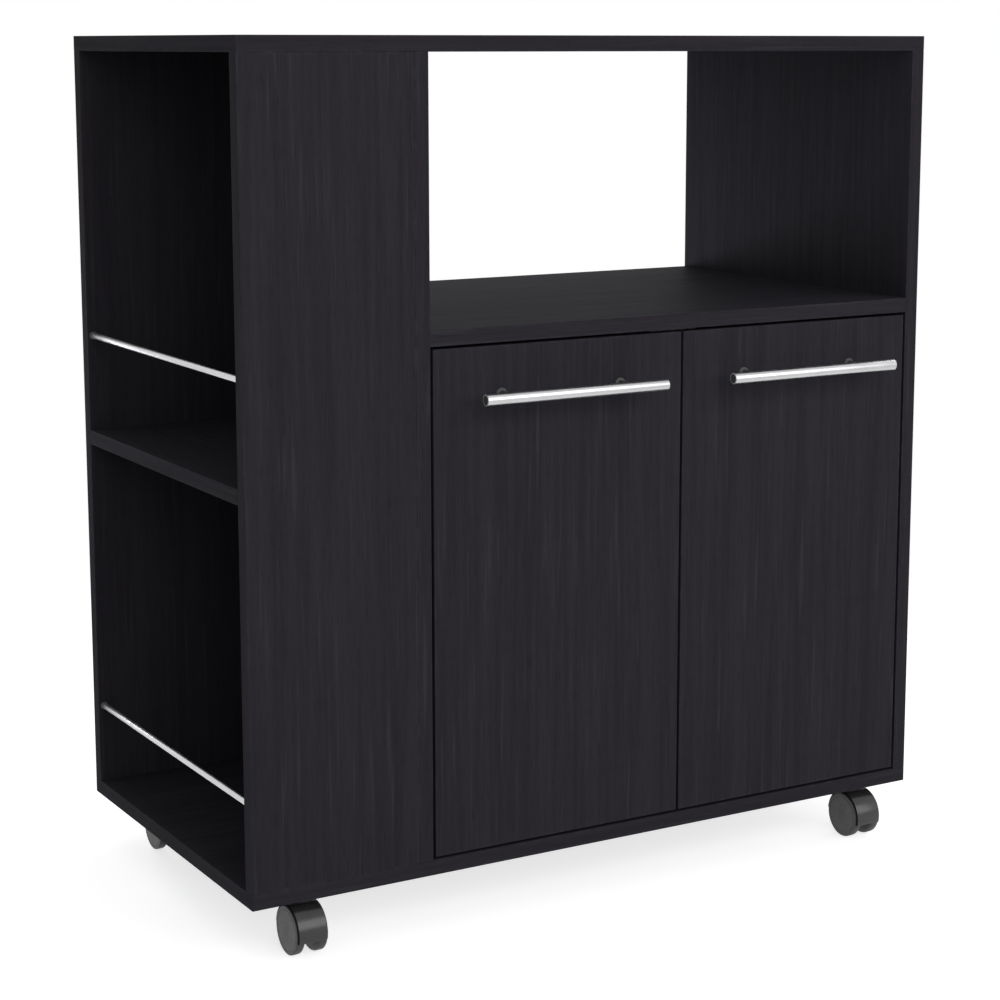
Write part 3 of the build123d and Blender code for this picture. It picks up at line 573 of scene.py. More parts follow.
def dowel_beech(name):
    """Pale turned wood of the dowels."""
    finish = Finish(name)
    fleck = finish.noise(finish.place(), FLECK_SCALE, detail=3.0)
    finish.set(Base_Color=finish.mix(finish.spread(fleck, *LINE_SPAN), BEECH_DARK, BEECH_PALE))
    finish.set(Roughness=finish.spread(fleck, *SPAN, *BEECH_ROUGH))
    finish.bump(fleck, FLECK_DEPTH, strength=0.4)
    return finish.material


# Maker of each finish, the colour that it takes from the looks, and the maker's own numbers
FINISHES = {
    "handle_bar_satin": (drawn_metal, "bar",
                         dict(lines=(9.0, 1400.0, 1400.0), rough=(0.25, 0.35), depth=0.015 * MM)),
    "rail_satin_chrome": (drawn_metal, "rail",
                          dict(lines=(1600.0, 8.0, 1600.0), rough=(0.30, 0.40), depth=0.008 * MM)),
    "hinge_nickel": (pressed_metal, "hinge", dict(rough=(0.26, 0.40))),
    "screw_zinc": (pressed_metal, "screw", dict(rough=(0.30, 0.46))),
    "handle_post_dark": (moulded, "post", dict(rough=(0.48, 0.60), grain=600.0, depth=0.02 * MM, gloss=0.3)),
    "handle_tip_grey": (moulded, "tip", dict(rough=(0.45, 0.58), grain=900.0, depth=0.01 * MM, gloss=0.3)),
    "dark_plastic": (moulded, "plug", dict(rough=(0.42, 0.58), grain=700.0, depth=0.03 * MM, gloss=0.3)),
    "caster_hood_gloss": (moulded, "hood", dict(rough=(0.22, 0.30), grain=500.0, depth=0.012 * MM, gloss=0.5)),
    # Rim finish: painted shade, a near-black matt plastic that stands for the shadow gap beside each wheel.
    "caster_rim_matt": (moulded, "rim", dict(rough=(0.62, 0.78), grain=900.0, depth=0.02 * MM, gloss=0.06)),
    "caster_disc_satin": (moulded, "disc", dict(rough=(0.40, 0.52), grain=800.0, depth=0.02 * MM, gloss=0.35)),
    "caster_tread": (moulded, "tread", dict(rough=(0.45, 0.62), grain=900.0, depth=0.04 * MM, gloss=0.35)),
}


def finish_of(name):
    """A finish of the table, made on first use."""
    maker, colour, numbers = FINISHES[name]
    scene = bpy.context.scene
    look = scene.stand_metal if hasattr(scene.stand_metal, colour) else scene.stand_casters
    return kept(name, lambda name: maker(name, getattr(look, colour), **numbers))


def board_finish():
    return kept("board_laminate_grain", laminate)


# Boards and doors: largest share of the thickness that edges take, steps of the grain map, and the hinge cups
EDGE_PART = 6
WEAR_PART = 5
GRAIN_ASIDE = 0.37
GRAIN_TURN = 0.61
BOARD_GRAIN_STEP = 1.83
DOOR_GRAIN_START = 21.7
DOOR_GRAIN_STEP = 2.9
CUP_DIAMETER = 35.0 * MM
CUP_FLANGE = 60.0 * MM
CUP_RIM = 18.5 * MM
CUP_DEPTH = 12.0 * MM
CUP_MARGIN = 0.6 * MM
CUP_CUTS = 9


def new_board(low, high):
    """Board with rolled edges, its flats framed by a narrow strip that can show wear."""
    look = bpy.context.scene.stand_boards
    bm = bmesh.new()
    wear = bm.verts.layers.float.new("wear")
    bm.loops.layers.uv.new("grain")
    add_box(bm, low, high)
    thin = min(high - low)
    round_edges(bm, bm.edges, min(look.edge_radius, thin / EDGE_PART), segments=2)
    flats = [face for face in bm.faces if max(abs(part) for part in face.normal) > FLAT]
    bmesh.ops.inset_individual(bm, faces=flats, thickness=min(look.wear_width, thin / WEAR_PART),
                               use_even_offset=True)
    calm = {vert for face in flats for vert in face.verts}
    for vert in bm.verts:
        vert[wear] = 0.0 if vert in calm else 1.0
    return bm


def lay_grain(bm, low, high, along, shift):
    """Grain map in metres: U runs with the grain, and along the longer side of the board's ends."""
    grain = bm.loops.layers.uv["grain"]
    size = high - low
    for face in bm.faces:
        out = max(range(3), key=lambda axis: abs(face.normal[axis]))
        flat = sorted((axis for axis in range(3) if axis != out), key=lambda axis: -size[axis])
        run = along if along in flat else flat[0]
        cross = flat[0] if flat[1] == run else flat[1]
        for loop in face.loops:
            spot = loop.vert.co
            loop[grain].uv = (spot[run] + shift, spot[cross] + GRAIN_ASIDE * shift + GRAIN_TURN * out)


def bore_cup(bm, mouth):
    """Round recess for a hinge cup, in the door's back."""
    radius = CUP_DIAMETER / 2

    def cell():
        for face in bm.faces:
            spots = [vert.co for vert in face.verts]
            if face.normal.y > FLAT and all(
                    min(spot[axis] for spot in spots) < mouth[axis] < max(spot[axis] for spot in spots)
                    for axis in (0, 2)):
                return face
        raise RuntimeError("no flat behind the hinge cup")

    for axis in (X_AXIS, Z_AXIS):
        for side in (-1, 1):
            face = cell()
            bmesh.ops.bisect_plane(bm, geom=[face, *face.edges, *face.verts], dist=MERGE,
                                   plane_co=mouth + axis * side * (radius + CUP_MARGIN), plane_no=axis)
    face = cell()
    bmesh.ops.bisect_edges(bm, edges=face.edges[:], cuts=CUP_CUTS)
    bmesh.ops.inset_individual(bm, faces=[face], thickness=CUP_MARGIN / 2)
    for vert in face.verts:
        out = vert.co - mouth
        out.y = 0
        vert.co = Vector((mouth.x, vert.co.y, mouth.z)) + out.normalized() * radius
    floor = bmesh.ops.extrude_discrete_faces(bm, faces=[face])["faces"][0]
    bmesh.ops.translate(bm, verts=floor.verts, vec=-Y_AXIS * CUP_DEPTH)


def make_boards():
    for index, (node, along) in enumerate(BOARD_GRAIN.items()):
        low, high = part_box(node)
        bm = new_board(low, high)
        lay_grain(bm, low, high, along, BOARD_GRAIN_STEP * index)
        finish = kept("back_hard_board", hard_board) if node == "cabinet_back_panel" else board_finish()
        put(bm, node + "_board", [node], finish)


def cup_mouths(side):
    """Centres of a door's two hinge cups, on the door's back."""
    low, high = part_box(f"{side}_hinge_cups")
    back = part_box(f"{side}_door")[1].y
    half = CUP_FLANGE / 2
    x = low.x + CUP_RIM if side == "left" else high.x - CUP_RIM
    return [Vector((x, back, z)) for z in (low.z + half, high.z - half)]


def make_doors():
    for index, side in enumerate(SIDES):
        low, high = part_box(f"{side}_door")
        bm = new_board(low, high)
        for mouth in cup_mouths(side):
            bore_cup(bm, mouth)
        lay_grain(bm, low, high, 2, DOOR_GRAIN_START + DOOR_GRAIN_STEP * index)
        put(bm, f"{side}_door_board", [f"{side}_door"], board_finish())


# Handles
TIP_FACING = 0.4
POST_RADIUS = 3.5 * MM
POST_FOOT_RADIUS = 6.0 * MM
POST_FOOT_HEIGHT = 3.0 * MM
POST_IN_BAR = 2.0 * MM
POST_ROUNDING = 0.8 * MM


def make_handles():
    look = bpy.context.scene.stand_metal
    for side in SIDES:
        low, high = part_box(f"{side}_handle_bar")
        middle = (low + high) / 2
        half = (high.x - low.x) / 2
        radius = (high.z - low.z) / 2
        bore = radius - look.bar_wall
        end = half - look.plug_sink
        bm = bmesh.new()
        made = lathe(bm, [(0, -end), (bore, -end), (bore, -half), (radius, -half),
                          (radius, half), (bore, half), (bore, end), (0, end)], middle, X_AXIS, steps=56)
        roll_rings(bm, made, middle, X_AXIS, [(radius, -half), (radius, half)], look.bar_lip, segments=4)
        bm.normal_update()
        for face in bm.faces:
            spot = face.calc_center_median()
            out = math.hypot(spot.y - middle.y, spot.z - middle.z)
            if out < bore and abs(spot.x - middle.x) < half:
                face.material_index = 1
            elif abs(face.normal.x) > TIP_FACING:
                face.material_index = 2
        shade_round(bm)
        put(bm, f"{side}_bar", [f"{side}_handle_bar"], finish_of("handle_bar_satin"), finish_of("dark_plastic"),
            finish_of("handle_tip_grey"))
        make_posts(side)


def make_posts(side):
    low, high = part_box(f"{side}_handle_posts")
    length = high.y - low.y - POST_IN_BAR
    z = (low.z + high.z) / 2
    shoulder, root = (POST_FOOT_RADIUS, POST_FOOT_HEIGHT), (POST_RADIUS, POST_FOOT_HEIGHT)
    bm = bmesh.new()
    for x in (low.x + POST_FOOT_RADIUS, high.x - POST_FOOT_RADIUS):
        foot = Vector((x, high.y, z))
        made = lathe(bm, [(0, 0), (POST_FOOT_RADIUS, 0), shoulder, root, (POST_RADIUS, length), (0, length)],
                     foot, -Y_AXIS)
        roll_rings(bm, made, foot, -Y_AXIS, [shoulder, root], POST_ROUNDING)
    shade_round(bm)
    put(bm, f"{side}_posts", [f"{side}_handle_posts"], finish_of("handle_post_dark"))


# Guard rails
RAIL_ROUNDING = 0.6 * MM
FERRULE_RADIUS = 4.5 * MM
FERRULE_LENGTH = 4.0 * MM
FERRULE_ROUNDING = 1.0 * MM


def make_rails():
    spots = []
    for level in ("upper", "lower"):
        node = f"{level}_guard_rail"
        low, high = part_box(node)
        radius = (high.z - low.z) / 2
        start = Vector(((low.x + high.x) / 2, low.y, (low.z + high.z) / 2))
        length = high.y - low.y
        bm = bmesh.new()
        made = lathe(bm, [(0, 0), (radius, 0), (radius, length), (0, length)], start, Y_AXIS)
        roll_rings(bm, made, start, Y_AXIS, [(radius, 0), (radius, length)], RAIL_ROUNDING, segments=2)
        shade_round(bm)
        put(bm, f"{level}_rail", [node], finish_of("rail_satin_chrome"))
        spots.append((start, radius))
    low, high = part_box("rail_ferrules")
    bm = bmesh.new()
    for start, radius in spots:
        for y, axis in ((low.y, Y_AXIS), (high.y, -Y_AXIS)):
            seat = Vector((start.x, y, start.z))
            lip = (FERRULE_RADIUS, FERRULE_LENGTH)
            made = lathe(bm, [(radius, 0), (FERRULE_RADIUS, 0), lip, (radius, FERRULE_LENGTH)], seat, axis,
                         closed=True)
            roll_rings(bm, made, seat, axis, [lip], FERRULE_ROUNDING)
    shade_round(bm)
    put(bm, "rail_collars", ["rail_ferrules"], finish_of("dark_plastic"))


# Casters: the hood's front and rear ends are angles in degrees about the axle
HOOD_RADIUS = 27.4 * MM
POCKET_RADIUS = 25.6 * MM
HOOD_HALF = 16.4 * MM
HOOD_CHAMFER = 1.2 * MM
HOOD_FRONT = 194.0
HOOD_REAR = 4.0
HOOD_STEPS = 57
HOOD_SHARP = 40
# Hood side faces within this share of the chamfer from the edge, and turned this far sideways, take the painted rim
# shade.
RIM_SHADE_REACH = 1.1
RIM_SHADE_FACING = 0.5
CORE_HALF = 6.4 * MM
HUB_RADIUS = 9.0 * MM
NECK_RADIUS = 5.6 * MM
NECK_LENGTH = 28.0 * MM
NECK_ROUNDING = 0.5 * MM
WHEEL_RADIUS = 25.0 * MM
WHEEL_WIDTH = 10.0 * MM
INNER_RIM = 3.2 * MM
OUTER_RIM = 1.0 * MM
TREAD_REACH = 1.2
AXLE_BORE = 3.05 * MM
AXLE_CAP = 1.7 * MM
PLATE_ROLL = 0.3 * MM

# Radius and sink of the steps on a wheel's face, from its rim to its centre, in millimetres
WHEEL_RINGS = ((21.8, 0.0), (21.65, 0.3), (21.15, 0.3), (21.0, 0.0), (5.2, 0.0), (5.0, 0.15), (4.6, 0.15),
               (4.4, 0.0), (2.2, 0.0), (0.0, 0.0))


def make_hood(corner):
    """Hood shell swept round the axle, with painted shade on its side rims, its core, hub and swivel neck."""
    look = bpy.context.scene.stand_casters
    axle_low, axle_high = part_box(f"{corner}_caster_axle")
    axle = (axle_low + axle_high) / 2
    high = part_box(f"{corner}_caster_hood")[1]
    bm = bmesh.new()
    section = [(-HOOD_HALF, POCKET_RADIUS), (-HOOD_HALF, HOOD_RADIUS - HOOD_CHAMFER),
               (HOOD_CHAMFER - HOOD_HALF, HOOD_RADIUS), (HOOD_HALF - HOOD_CHAMFER, HOOD_RADIUS),
               (HOOD_HALF, HOOD_RADIUS - HOOD_CHAMFER), (HOOD_HALF, POCKET_RADIUS), (CORE_HALF, POCKET_RADIUS),
               (CORE_HALF, AXLE_BORE), (-CORE_HALF, AXLE_BORE), (-CORE_HALF, POCKET_RADIUS)]
    angle = math.radians(HOOD_REAR)
    line = [bm.verts.new(axle + Vector((x, radius * math.cos(angle), radius * math.sin(angle))))
            for x, radius in section]
    edges = [bm.edges.new(pair) for pair in zip(line, line[1:] + line[:1])]
    bmesh.ops.spin(bm, geom=line + edges, cent=axle, axis=X_AXIS, dvec=(0, 0, 0),
                   angle=math.radians(HOOD_FRONT - HOOD_REAR), steps=HOOD_STEPS)
    bmesh.ops.holes_fill(bm, edges=[edge for edge in bm.edges if edge.is_boundary], sides=0)
    bmesh.ops.recalc_face_normals(bm, faces=bm.faces[:])
    round_edges(bm, sharp_edges(bm.edges, HOOD_SHARP), look.hood_edge)
    bmesh.ops.dissolve_degenerate(bm, dist=2 * MERGE, edges=bm.edges[:])
    # Side faces of the hood's rims take the second finish: painted shade for the gap between hood and wheel.
    for face in bm.faces:
        side = abs(face.calc_center_median().x - axle.x) > HOOD_HALF - RIM_SHADE_REACH * HOOD_CHAMFER
        face.material_index = 1 if side and abs(face.normal.x) > RIM_SHADE_FACING else 0
    hub_start = axle - X_AXIS * CORE_HALF
    lathe(bm, [(0, 0), (HUB_RADIUS, 0), (HUB_RADIUS, 2 * CORE_HALF), (0, 2 * CORE_HALF)], hub_start, X_AXIS)
    neck_top = Vector((axle.x, high.y - NECK_RADIUS, high.z))
    made = lathe(bm, [(0, 0), (NECK_RADIUS, 0), (NECK_RADIUS, NECK_LENGTH), (0, NECK_LENGTH)],
                 neck_top, -Z_AXIS, steps=36)
    roll_rings(bm, made, neck_top, -Z_AXIS, [(NECK_RADIUS, 0)], NECK_ROUNDING, segments=2)
    shade_round(bm, HOOD_SHARP)
    put(bm, f"{corner}_hood", [f"{corner}_caster_hood"], finish_of("caster_hood_gloss"), finish_of("caster_rim_matt"))


def make_wheel(corner, side):
    """Wheel with a rounded tread, a stepped disc and fine rings round its hub."""
    node = f"{corner}_caster_{side}_wheel"
    low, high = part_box(node)
    middle = (low + high) / 2
    axis = -X_AXIS if side == "left" else X_AXIS
    back = middle - axis * (WHEEL_WIDTH / 2)
    inner, outer = (WHEEL_RADIUS, 0), (WHEEL_RADIUS, WHEEL_WIDTH)
    cap = WHEEL_WIDTH - AXLE_CAP
    bm = bmesh.new()
    made = lathe(bm, [(0, cap), (AXLE_BORE, cap), (AXLE_BORE, 0), inner, outer]
                 + [(radius * MM, WHEEL_WIDTH - sink * MM) for radius, sink in WHEEL_RINGS], back, axis, steps=72)
    roll_rings(bm, made, back, axis, [inner], INNER_RIM, segments=6)
    roll_rings(bm, bm.verts[:], back, axis, [outer], OUTER_RIM)
    for face in bm.faces:
        spot = face.calc_center_median() - middle
        face.material_index = 1 if math.hypot(spot.y, spot.z) > WHEEL_RADIUS - TREAD_REACH * OUTER_RIM else 0
    shade_round(bm, degrees=30)
    put(bm, f"{corner}_{side}_wheel", [node], finish_of("caster_disc_satin"), finish_of("caster_tread"))


def make_casters():
    for corner in CORNERS:
        make_hood(corner)
        for side in SIDES:
            make_wheel(corner, side)
        soften(f"{corner}_caster_plate", f"{corner}_plate", PLATE_ROLL, finish_of("screw_zinc"))


# Hinges, catch, pins and screws: rolled edges, pole plates, and screw heads whose cross is in shares of the head
FLAT_ANGLE = 0.5
SHARP_ANGLE = 50
MOUNT_ROLL = 0.4 * MM
CUP_ROLL = 0.25 * MM
ARM_ROLL = 0.35 * MM
CATCH_ROLL = 0.5 * MM
STRIKE_ROLL = 0.25 * MM
PIN_ROLL = 0.5 * MM
POLE_ROLL = 0.2 * MM
POLE_THICKNESS = 1.4 * MM
POLE_MARGIN = 1.0 * MM
POLE_SPACING = 6.0 * MM
POLE_PROUD = 0.15 * MM
POLE_SUNK = 1.0 * MM
HEAD_ROUNDING = 0.55
CROSS_WIDTH = 0.13
CROSS_LENGTH = 0.575
CROSS_DEPTH = 0.45
WOOD_HEAD = (3.5 * MM, 2.0 * MM)
HANDLE_HEAD = (4.0 * MM, 2.5 * MM)
CASTER_SCREW_MARGIN = 6.0 * MM
CUP_SCREW_MARGIN = 6.0 * MM


def softened(node, radius):
    """Merged copy of a CAD node with its sharp edges rolled over."""
    bm = bmesh.new()
    bm.from_mesh(frame["nodes"][node].data)
    bmesh.ops.remove_doubles(bm, verts=bm.verts[:], dist=2 * MERGE)
    bmesh.ops.dissolve_limit(bm, angle_limit=math.radians(FLAT_ANGLE), verts=bm.verts[:], edges=bm.edges[:])
    round_edges(bm, sharp_edges(bm.edges, SHARP_ANGLE), radius, segments=2)
    for face in bm.faces:
        face.material_index = 0
    return bm


def soften(node, name, radius, material):
    """Piece in a CAD node's shape with rolled edges."""
    bm = softened(node, radius)
    shade_round(bm)
    put(bm, name, [node], material)


def pan_head(bm, seat, axis, radius, height):
    """Screw head on its seat, with a cross sunk in its crown."""
    before = set(bm.faces)
    made = lathe(bm, [(0, 0), (radius, 0), (radius, height), (0, height)], seat, axis, steps=32)
    roll_rings(bm, made, seat, axis, [(radius, height)], HEAD_ROUNDING * height, segments=4)
    crown = seat + axis * height
    turn = Z_AXIS.rotation_difference(axis).to_matrix()
    ways = [turn @ Vector((1, side, 0)).normalized() for side in (-1, 1)]
    width, length = CROSS_WIDTH * radius, CROSS_LENGTH * radius

    def flats():
        return [face for face in bm.faces if face not in before
                and all(abs((vert.co - crown).dot(axis)) < NEAR for vert in face.verts)]

    def off(face, way):
        return abs((face.calc_center_median() - crown).dot(way))

    def cut(faces, way, place):
        parts = dict.fromkeys(part for face in faces for part in (face, *face.edges, *face.verts))
        bmesh.ops.bisect_plane(bm, geom=list(parts), dist=MERGE, plane_co=crown + way * place, plane_no=way)

    bmesh.ops.dissolve_faces(bm, faces=flats())
    for way in ways:
        for place in (-width, width):
            cut(flats(), way, place)
    for way, other in (ways, ways[::-1]):
        for place in (-length, length):
            cut([face for face in flats() if off(face, other) < width], way, place)
    cross = [face for face in flats()
             if min(off(face, way) for way in ways) < width and max(off(face, way) for way in ways) < length]
    shape = bmesh.ops.dissolve_faces(bm, faces=cross)["region"][0]
    floor = bmesh.ops.extrude_discrete_faces(bm, faces=[shape])["faces"][0]
    bmesh.ops.translate(bm, verts=floor.verts, vec=-axis * CROSS_DEPTH * height)
    for face in {face for vert in floor.verts for face in vert.link_faces}:
        face.material_index = 1


def put_screws(name, node, seats, axis, head):
    bm = bmesh.new()
    for seat in seats:
        pan_head(bm, seat, axis, *head)
    shade_round(bm)
    put(bm, name, [node], finish_of("screw_zinc"), finish_of("dark_plastic"))


def make_hinges():
    nickel = finish_of("hinge_nickel")
    soften("hinge_mounting_plates", "mounting_plates", MOUNT_ROLL, nickel)
    for side in SIDES:
        soften(f"{side}_hinge_cups", f"{side}_cups", CUP_ROLL, nickel)
        soften(f"{side}_hinge_arms", f"{side}_arms", ARM_ROLL, nickel)
        dress(f"{side}_hinge_pins", nickel)


def make_catch():
    """Catch body with two steel pole plates facing each strike, its screws and the strikes."""
    zinc = finish_of("screw_zinc")
    low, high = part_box("door_catch")
    bm = softened("door_catch", CATCH_ROLL)
    for side in SIDES:
        strike_low, strike_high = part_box(f"{side}_door_strike")
        x = (max(strike_low.x, low.x) + min(strike_high.x, high.x)) / 2
        for middle in (x - POLE_SPACING / 2, x + POLE_SPACING / 2):
            plate = add_box(bm, Vector((middle - POLE_THICKNESS / 2, low.y - POLE_PROUD, low.z + POLE_MARGIN)),
                            Vector((middle + POLE_THICKNESS / 2, low.y + POLE_SUNK, strike_high.z - POLE_MARGIN)))
            for face in {face for vert in plate for face in vert.link_faces}:
                face.material_index = 1
            round_edges(bm, edges_of(plate), POLE_ROLL, segments=2)
    shade_round(bm)
    put(bm, "catch_body", ["door_catch"], finish_of("dark_plastic"), zinc)
    dress("catch_screws", zinc)
    for side in SIDES:
        soften(f"{side}_door_strike", f"{side}_strike", STRIKE_ROLL, zinc)


def make_shelf_pins():
    soften("shelf_pins", "pins", PIN_ROLL, finish_of("screw_zinc"))


def make_screws():
    seats = []
    for corner in CORNERS:
        low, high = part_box(f"{corner}_caster_plate")
        for x in (low.x + CASTER_SCREW_MARGIN, high.x - CASTER_SCREW_MARGIN):
            for y in (low.y + CASTER_SCREW_MARGIN, high.y - CASTER_SCREW_MARGIN):
                seats.append(Vector((x, y, low.z)))
    put_screws("plate_screws", "caster_screws", seats, -Z_AXIS, WOOD_HEAD)
    for side in SIDES:
        low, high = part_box(f"{side}_handle_posts")
        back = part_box(f"{side}_door")[1].y
        spots = (low.x + POST_FOOT_RADIUS, high.x - POST_FOOT_RADIUS)
        seats = [Vector((x, back, (low.z + high.z) / 2)) for x in spots]
        put_screws(f"{side}_bar_screws", f"{side}_handle_screws", seats, Y_AXIS, HANDLE_HEAD)
        low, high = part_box(f"{side}_hinge_cup_screws")
        x = (low.x + high.x) / 2
        seat_y = high.y - WOOD_HEAD[1]
        reach = CUP_FLANGE / 2 - CUP_SCREW_MARGIN
        seats = [Vector((x, seat_y, mouth.z + offset)) for mouth in cup_mouths(side) for offset in (-reach, reach)]
        put_screws(f"{side}_cup_screws", f"{side}_hinge_cup_screws", seats, Y_AXIS, WOOD_HEAD)


def dress_hidden():
    """Finishes of the CAD nodes that stay as they are."""
    dress("carcass_dowels", kept("dowel_beech", dowel_beech))
    for node in ("caster_stems", "hinge_plate_screws", *(f"{corner}_caster_axle" for corner in CORNERS)):
        dress(node, finish_of("screw_zinc"))


# Stage: camera angles in degrees, floor radii in metres, and each lamp's place, aim, width, height and colour
CAMERA_SPOT = (-1.2836, -2.2046, 0.8998)
CAMERA_PITCH = -9.448
CAMERA_YAW = -30.416
CAMERA_SHIFT = (-0.0198, -0.0700)
SENSOR_WIDTH = 36.0
FLOOR_RADIUS = 8.0
SHADE_RADIUS = 0.6
WHITE_RADIUS = 1.5
FLOOR_FLECK = 40.0
FLOOR_DARK = 0.98
FLOOR_ROUGH = 0.9
FLOOR_GLOSS = 0.1
KEY_LAMP = ((0.4, -3.5, 1.9), (0.0, 0.0, 0.6), 5.6, 2.4, (1.0, 1.0, 1.0))
BACK_LAMP = ((-0.15, 1.8, 0.32), (0.3, 0.0, 0.8), 0.8, 0.5, (0.90, 0.90, 1.0))
SIDE_LAMP = ((2.9, 0.7, 1.5), (0.41, 0.0, 0.45), 1.6, 1.6, (1.0, 1.0, 1.0))


def make_world():
    world = bpy.data.worlds.new("studio_air")
    world.use_nodes = True
    world.node_tree.nodes.clear()
    tree = Tree(world.node_tree)
    even = tree.glow("ShaderNodeBackground", bpy.context.scene.stand_stage.air)
    white = tree.glow("ShaderNodeBackground", 1.0)
    tree.fill(tree.add("ShaderNodeOutputWorld"), Surface=tree.blend(tree.seen(), even, white))
    bpy.context.scene.world = world


def floor_paint():
    """Pale matt floor that keeps shadows near the stand and fades to plain white further out."""
    look = bpy.context.scene.stand_stage
    finish = Finish("studio_floor")
    fleck = finish.noise(finish.place(), FLOOR_FLECK, detail=3.0)
    shade = finish.mix(finish.spread(fleck, *SPAN), look.floor, scaled(look.floor, FLOOR_DARK))
    finish.set(Base_Color=shade, Roughness=FLOOR_ROUGH, Specular_IOR_Level=FLOOR_GLOSS)
    paint = finish.shader.outputs["BSDF"]
    lifted = finish.fill(finish.add("ShaderNodeAddShader"), paint, finish.glow("ShaderNodeEmission", look.lift))
    white = finish.glow("ShaderNodeEmission", 1.0)
    far = finish.add("ShaderNodeVectorMath", operation="LENGTH")
    finish.fill(far, Vector=finish.place())
    fade = finish.spread(far.outputs["Value"], SHADE_RADIUS, WHITE_RADIUS)
    shown = finish.blend(fade, lifted.outputs["Shader"], white)
    finish.fill(finish.nodes["Material Output"], Surface=finish.blend(finish.seen(), paint, shown))
    return finish.material


def make_floor():
    bm = bmesh.new()
    bmesh.ops.create_circle(bm, cap_ends=True, radius=FLOOR_RADIUS, segments=96)
    mesh = bpy.data.meshes.new("floor")
    bm.to_mesh(mesh)
    bm.free()
    mesh.materials.append(floor_paint())
    floor = bpy.data.objects.new("floor", mesh)
    bpy.context.scene.collection.objects.link(floor)


def add_lamp(name, power, spot, aim, width, height, colour):
    lamp = bpy.data.lights.new(name, "AREA")
    lamp.shape = "RECTANGLE"
    lamp.color = colour
    lamp.energy = power
    lamp.size = width
    lamp.size_y = height
    holder = bpy.data.objects.new(name, lamp)
    holder.location = spot
    holder.visible_camera = False
    holder.rotation_euler = (Vector(aim) - Vector(spot)).to_track_quat("-Z", "Y").to_euler()
    bpy.context.scene.collection.objects.link(holder)


def make_camera():
    camera = bpy.data.cameras.new("camera")
    camera.sensor_width = SENSOR_WIDTH
    camera.lens = bpy.context.scene.stand_stage.lens
    camera.shift_x, camera.shift_y = CAMERA_SHIFT
    holder = bpy.data.objects.new("camera", camera)
    holder.location = CAMERA_SPOT
    holder.rotation_euler = (math.radians(90 + CAMERA_PITCH), 0.0, math.radians(CAMERA_YAW))
    bpy.context.scene.collection.objects.link(holder)
    bpy.context.scene.camera = holder


def make_stage():
    look = bpy.context.scene.stand_stage
    make_world()
    make_floor()
    add_lamp("key_lamp", look.key, *KEY_LAMP)
    add_lamp("back_lamp", look.back, *BACK_LAMP)
    add_lamp("side_lamp", look.side, *SIDE_LAMP)
    make_camera()
    bpy.context.scene.view_settings.view_transform = "Standard"


# Operators and panel

class STAND_OT_boards(bpy.types.Operator):
    """Make the carcass boards and shelves"""
    bl_idname = "stand.boards"
    bl_label = "Boards"

    def execute(self, context):
        make_boards()
        return {"FINISHED"}


class STAND_OT_doors(bpy.types.Operator):
    """Make both doors"""
    bl_idname = "stand.doors"
    bl_label = "Doors"

    def execute(self, context):
        make_doors()
        return {"FINISHED"}


class STAND_OT_handles(bpy.types.Operator):
    """Make the bar handles and their posts"""
    bl_idname = "stand.handles"
    bl_label = "Handles"

    def execute(self, context):
        make_handles()
        return {"FINISHED"}


class STAND_OT_rails(bpy.types.Operator):
    """Make the guard rails and their collars"""
    bl_idname = "stand.rails"
    bl_label = "Guard rails"

    def execute(self, context):
        make_rails()
        return {"FINISHED"}


class STAND_OT_hinges(bpy.types.Operator):
    """Make the cup hinges"""
    bl_idname = "stand.hinges"
    bl_label = "Hinges"

    def execute(self, context):
        make_hinges()
        return {"FINISHED"}


class STAND_OT_catch(bpy.types.Operator):
    """Make the magnetic catch and the door strikes"""
    bl_idname = "stand.catch"
    bl_label = "Catch"

    def execute(self, context):
        make_catch()
        return {"FINISHED"}


class STAND_OT_shelf_pins(bpy.types.Operator):
    """Make the pins under the inner shelf"""
    bl_idname = "stand.shelf_pins"
    bl_label = "Shelf pins"

    def execute(self, context):
        make_shelf_pins()
        return {"FINISHED"}


class STAND_OT_casters(bpy.types.Operator):
    """Make the twin-wheel casters"""
    bl_idname = "stand.casters"
    bl_label = "Casters"

    def execute(self, context):
        make_casters()
        return {"FINISHED"}


class STAND_OT_screws(bpy.types.Operator):
    """Make the screw heads that show"""
    bl_idname = "stand.screws"
    bl_label = "Screws"

    def execute(self, context):
        make_screws()
        return {"FINISHED"}


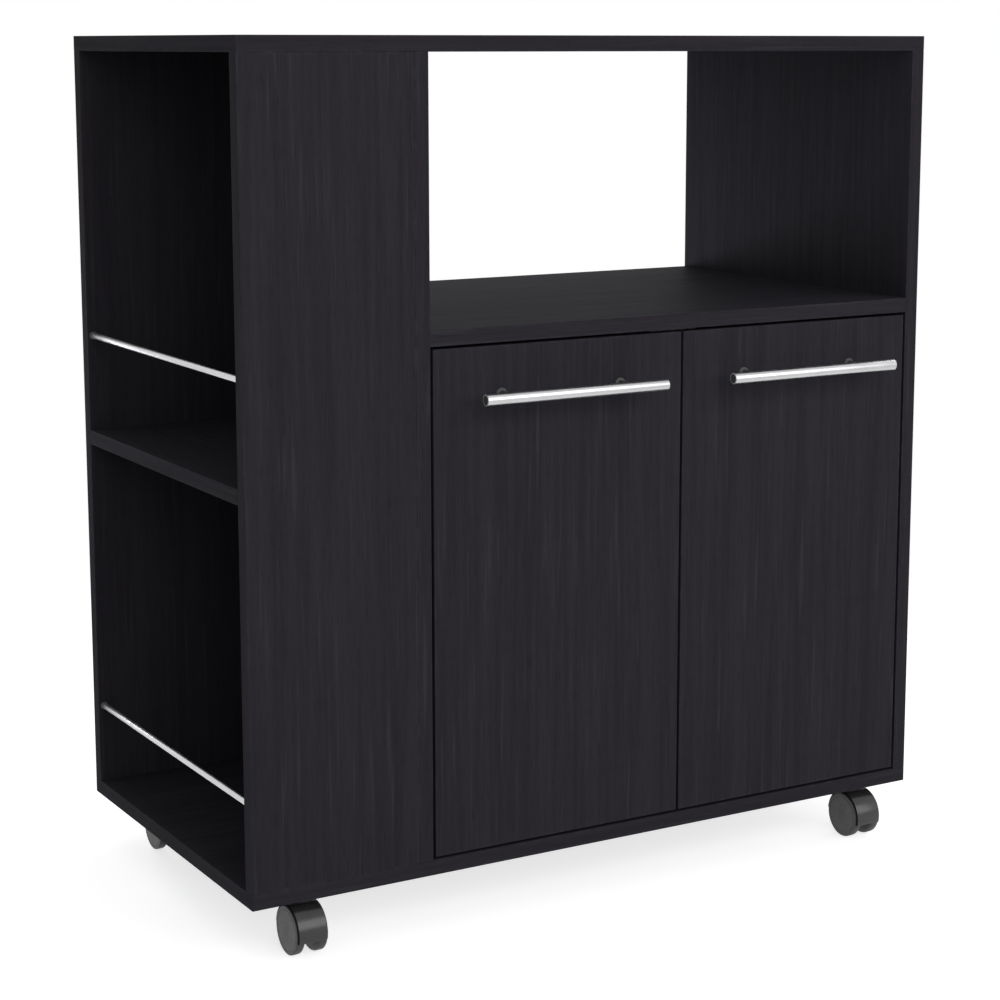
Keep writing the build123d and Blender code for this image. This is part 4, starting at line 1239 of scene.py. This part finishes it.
class STAND_OT_hidden(bpy.types.Operator):
    """Finish the parts that keep their construction shape"""
    bl_idname = "stand.hidden"
    bl_label = "Hidden parts"

    def execute(self, context):
        dress_hidden()
        return {"FINISHED"}


class STAND_OT_stage(bpy.types.Operator):
    """Make the floor, the lamps and the camera"""
    bl_idname = "stand.stage"
    bl_label = "Stage"

    def execute(self, context):
        make_stage()
        return {"FINISHED"}


OPERATORS = (STAND_OT_stage, STAND_OT_boards, STAND_OT_doors, STAND_OT_handles, STAND_OT_rails, STAND_OT_hinges,
             STAND_OT_catch, STAND_OT_shelf_pins, STAND_OT_casters, STAND_OT_screws, STAND_OT_hidden)
LOOKS = {"stand_boards": BoardLook, "stand_metal": MetalLook, "stand_casters": CasterLook, "stand_stage": StageLook}


class STAND_PT_panel(bpy.types.Panel):
    """Looks and makers of the microwave stand"""
    bl_label = "Microwave stand"
    bl_idname = "STAND_PT_panel"
    bl_space_type = "VIEW_3D"
    bl_region_type = "UI"
    bl_category = "Stand"

    def draw(self, context):
        for name, look in LOOKS.items():
            box = self.layout.box()
            box.label(text=look.__doc__)
            for key in look.__annotations__:
                box.prop(getattr(context.scene, name), key)
        for operator in OPERATORS:
            self.layout.operator(operator.bl_idname)


def register():
    for name, look in LOOKS.items():
        bpy.utils.register_class(look)
        setattr(bpy.types.Scene, name, PointerProperty(type=look))
    for operator in OPERATORS:
        bpy.utils.register_class(operator)
    bpy.utils.register_class(STAND_PT_panel)


def unregister():
    bpy.utils.unregister_class(STAND_PT_panel)
    for operator in reversed(OPERATORS):
        bpy.utils.unregister_class(operator)
    for name, look in LOOKS.items():
        delattr(bpy.types.Scene, name)
        bpy.utils.unregister_class(look)


def main():
    register()
    bpy.ops.stand.stage()
    bpy.ops.stand.boards()
    bpy.ops.stand.doors()
    bpy.ops.stand.handles()
    bpy.ops.stand.rails()
    bpy.ops.stand.hinges()
    bpy.ops.stand.catch()
    bpy.ops.stand.shelf_pins()
    bpy.ops.stand.casters()
    bpy.ops.stand.screws()
    bpy.ops.stand.hidden()


if __name__ == "__main__":
    main()
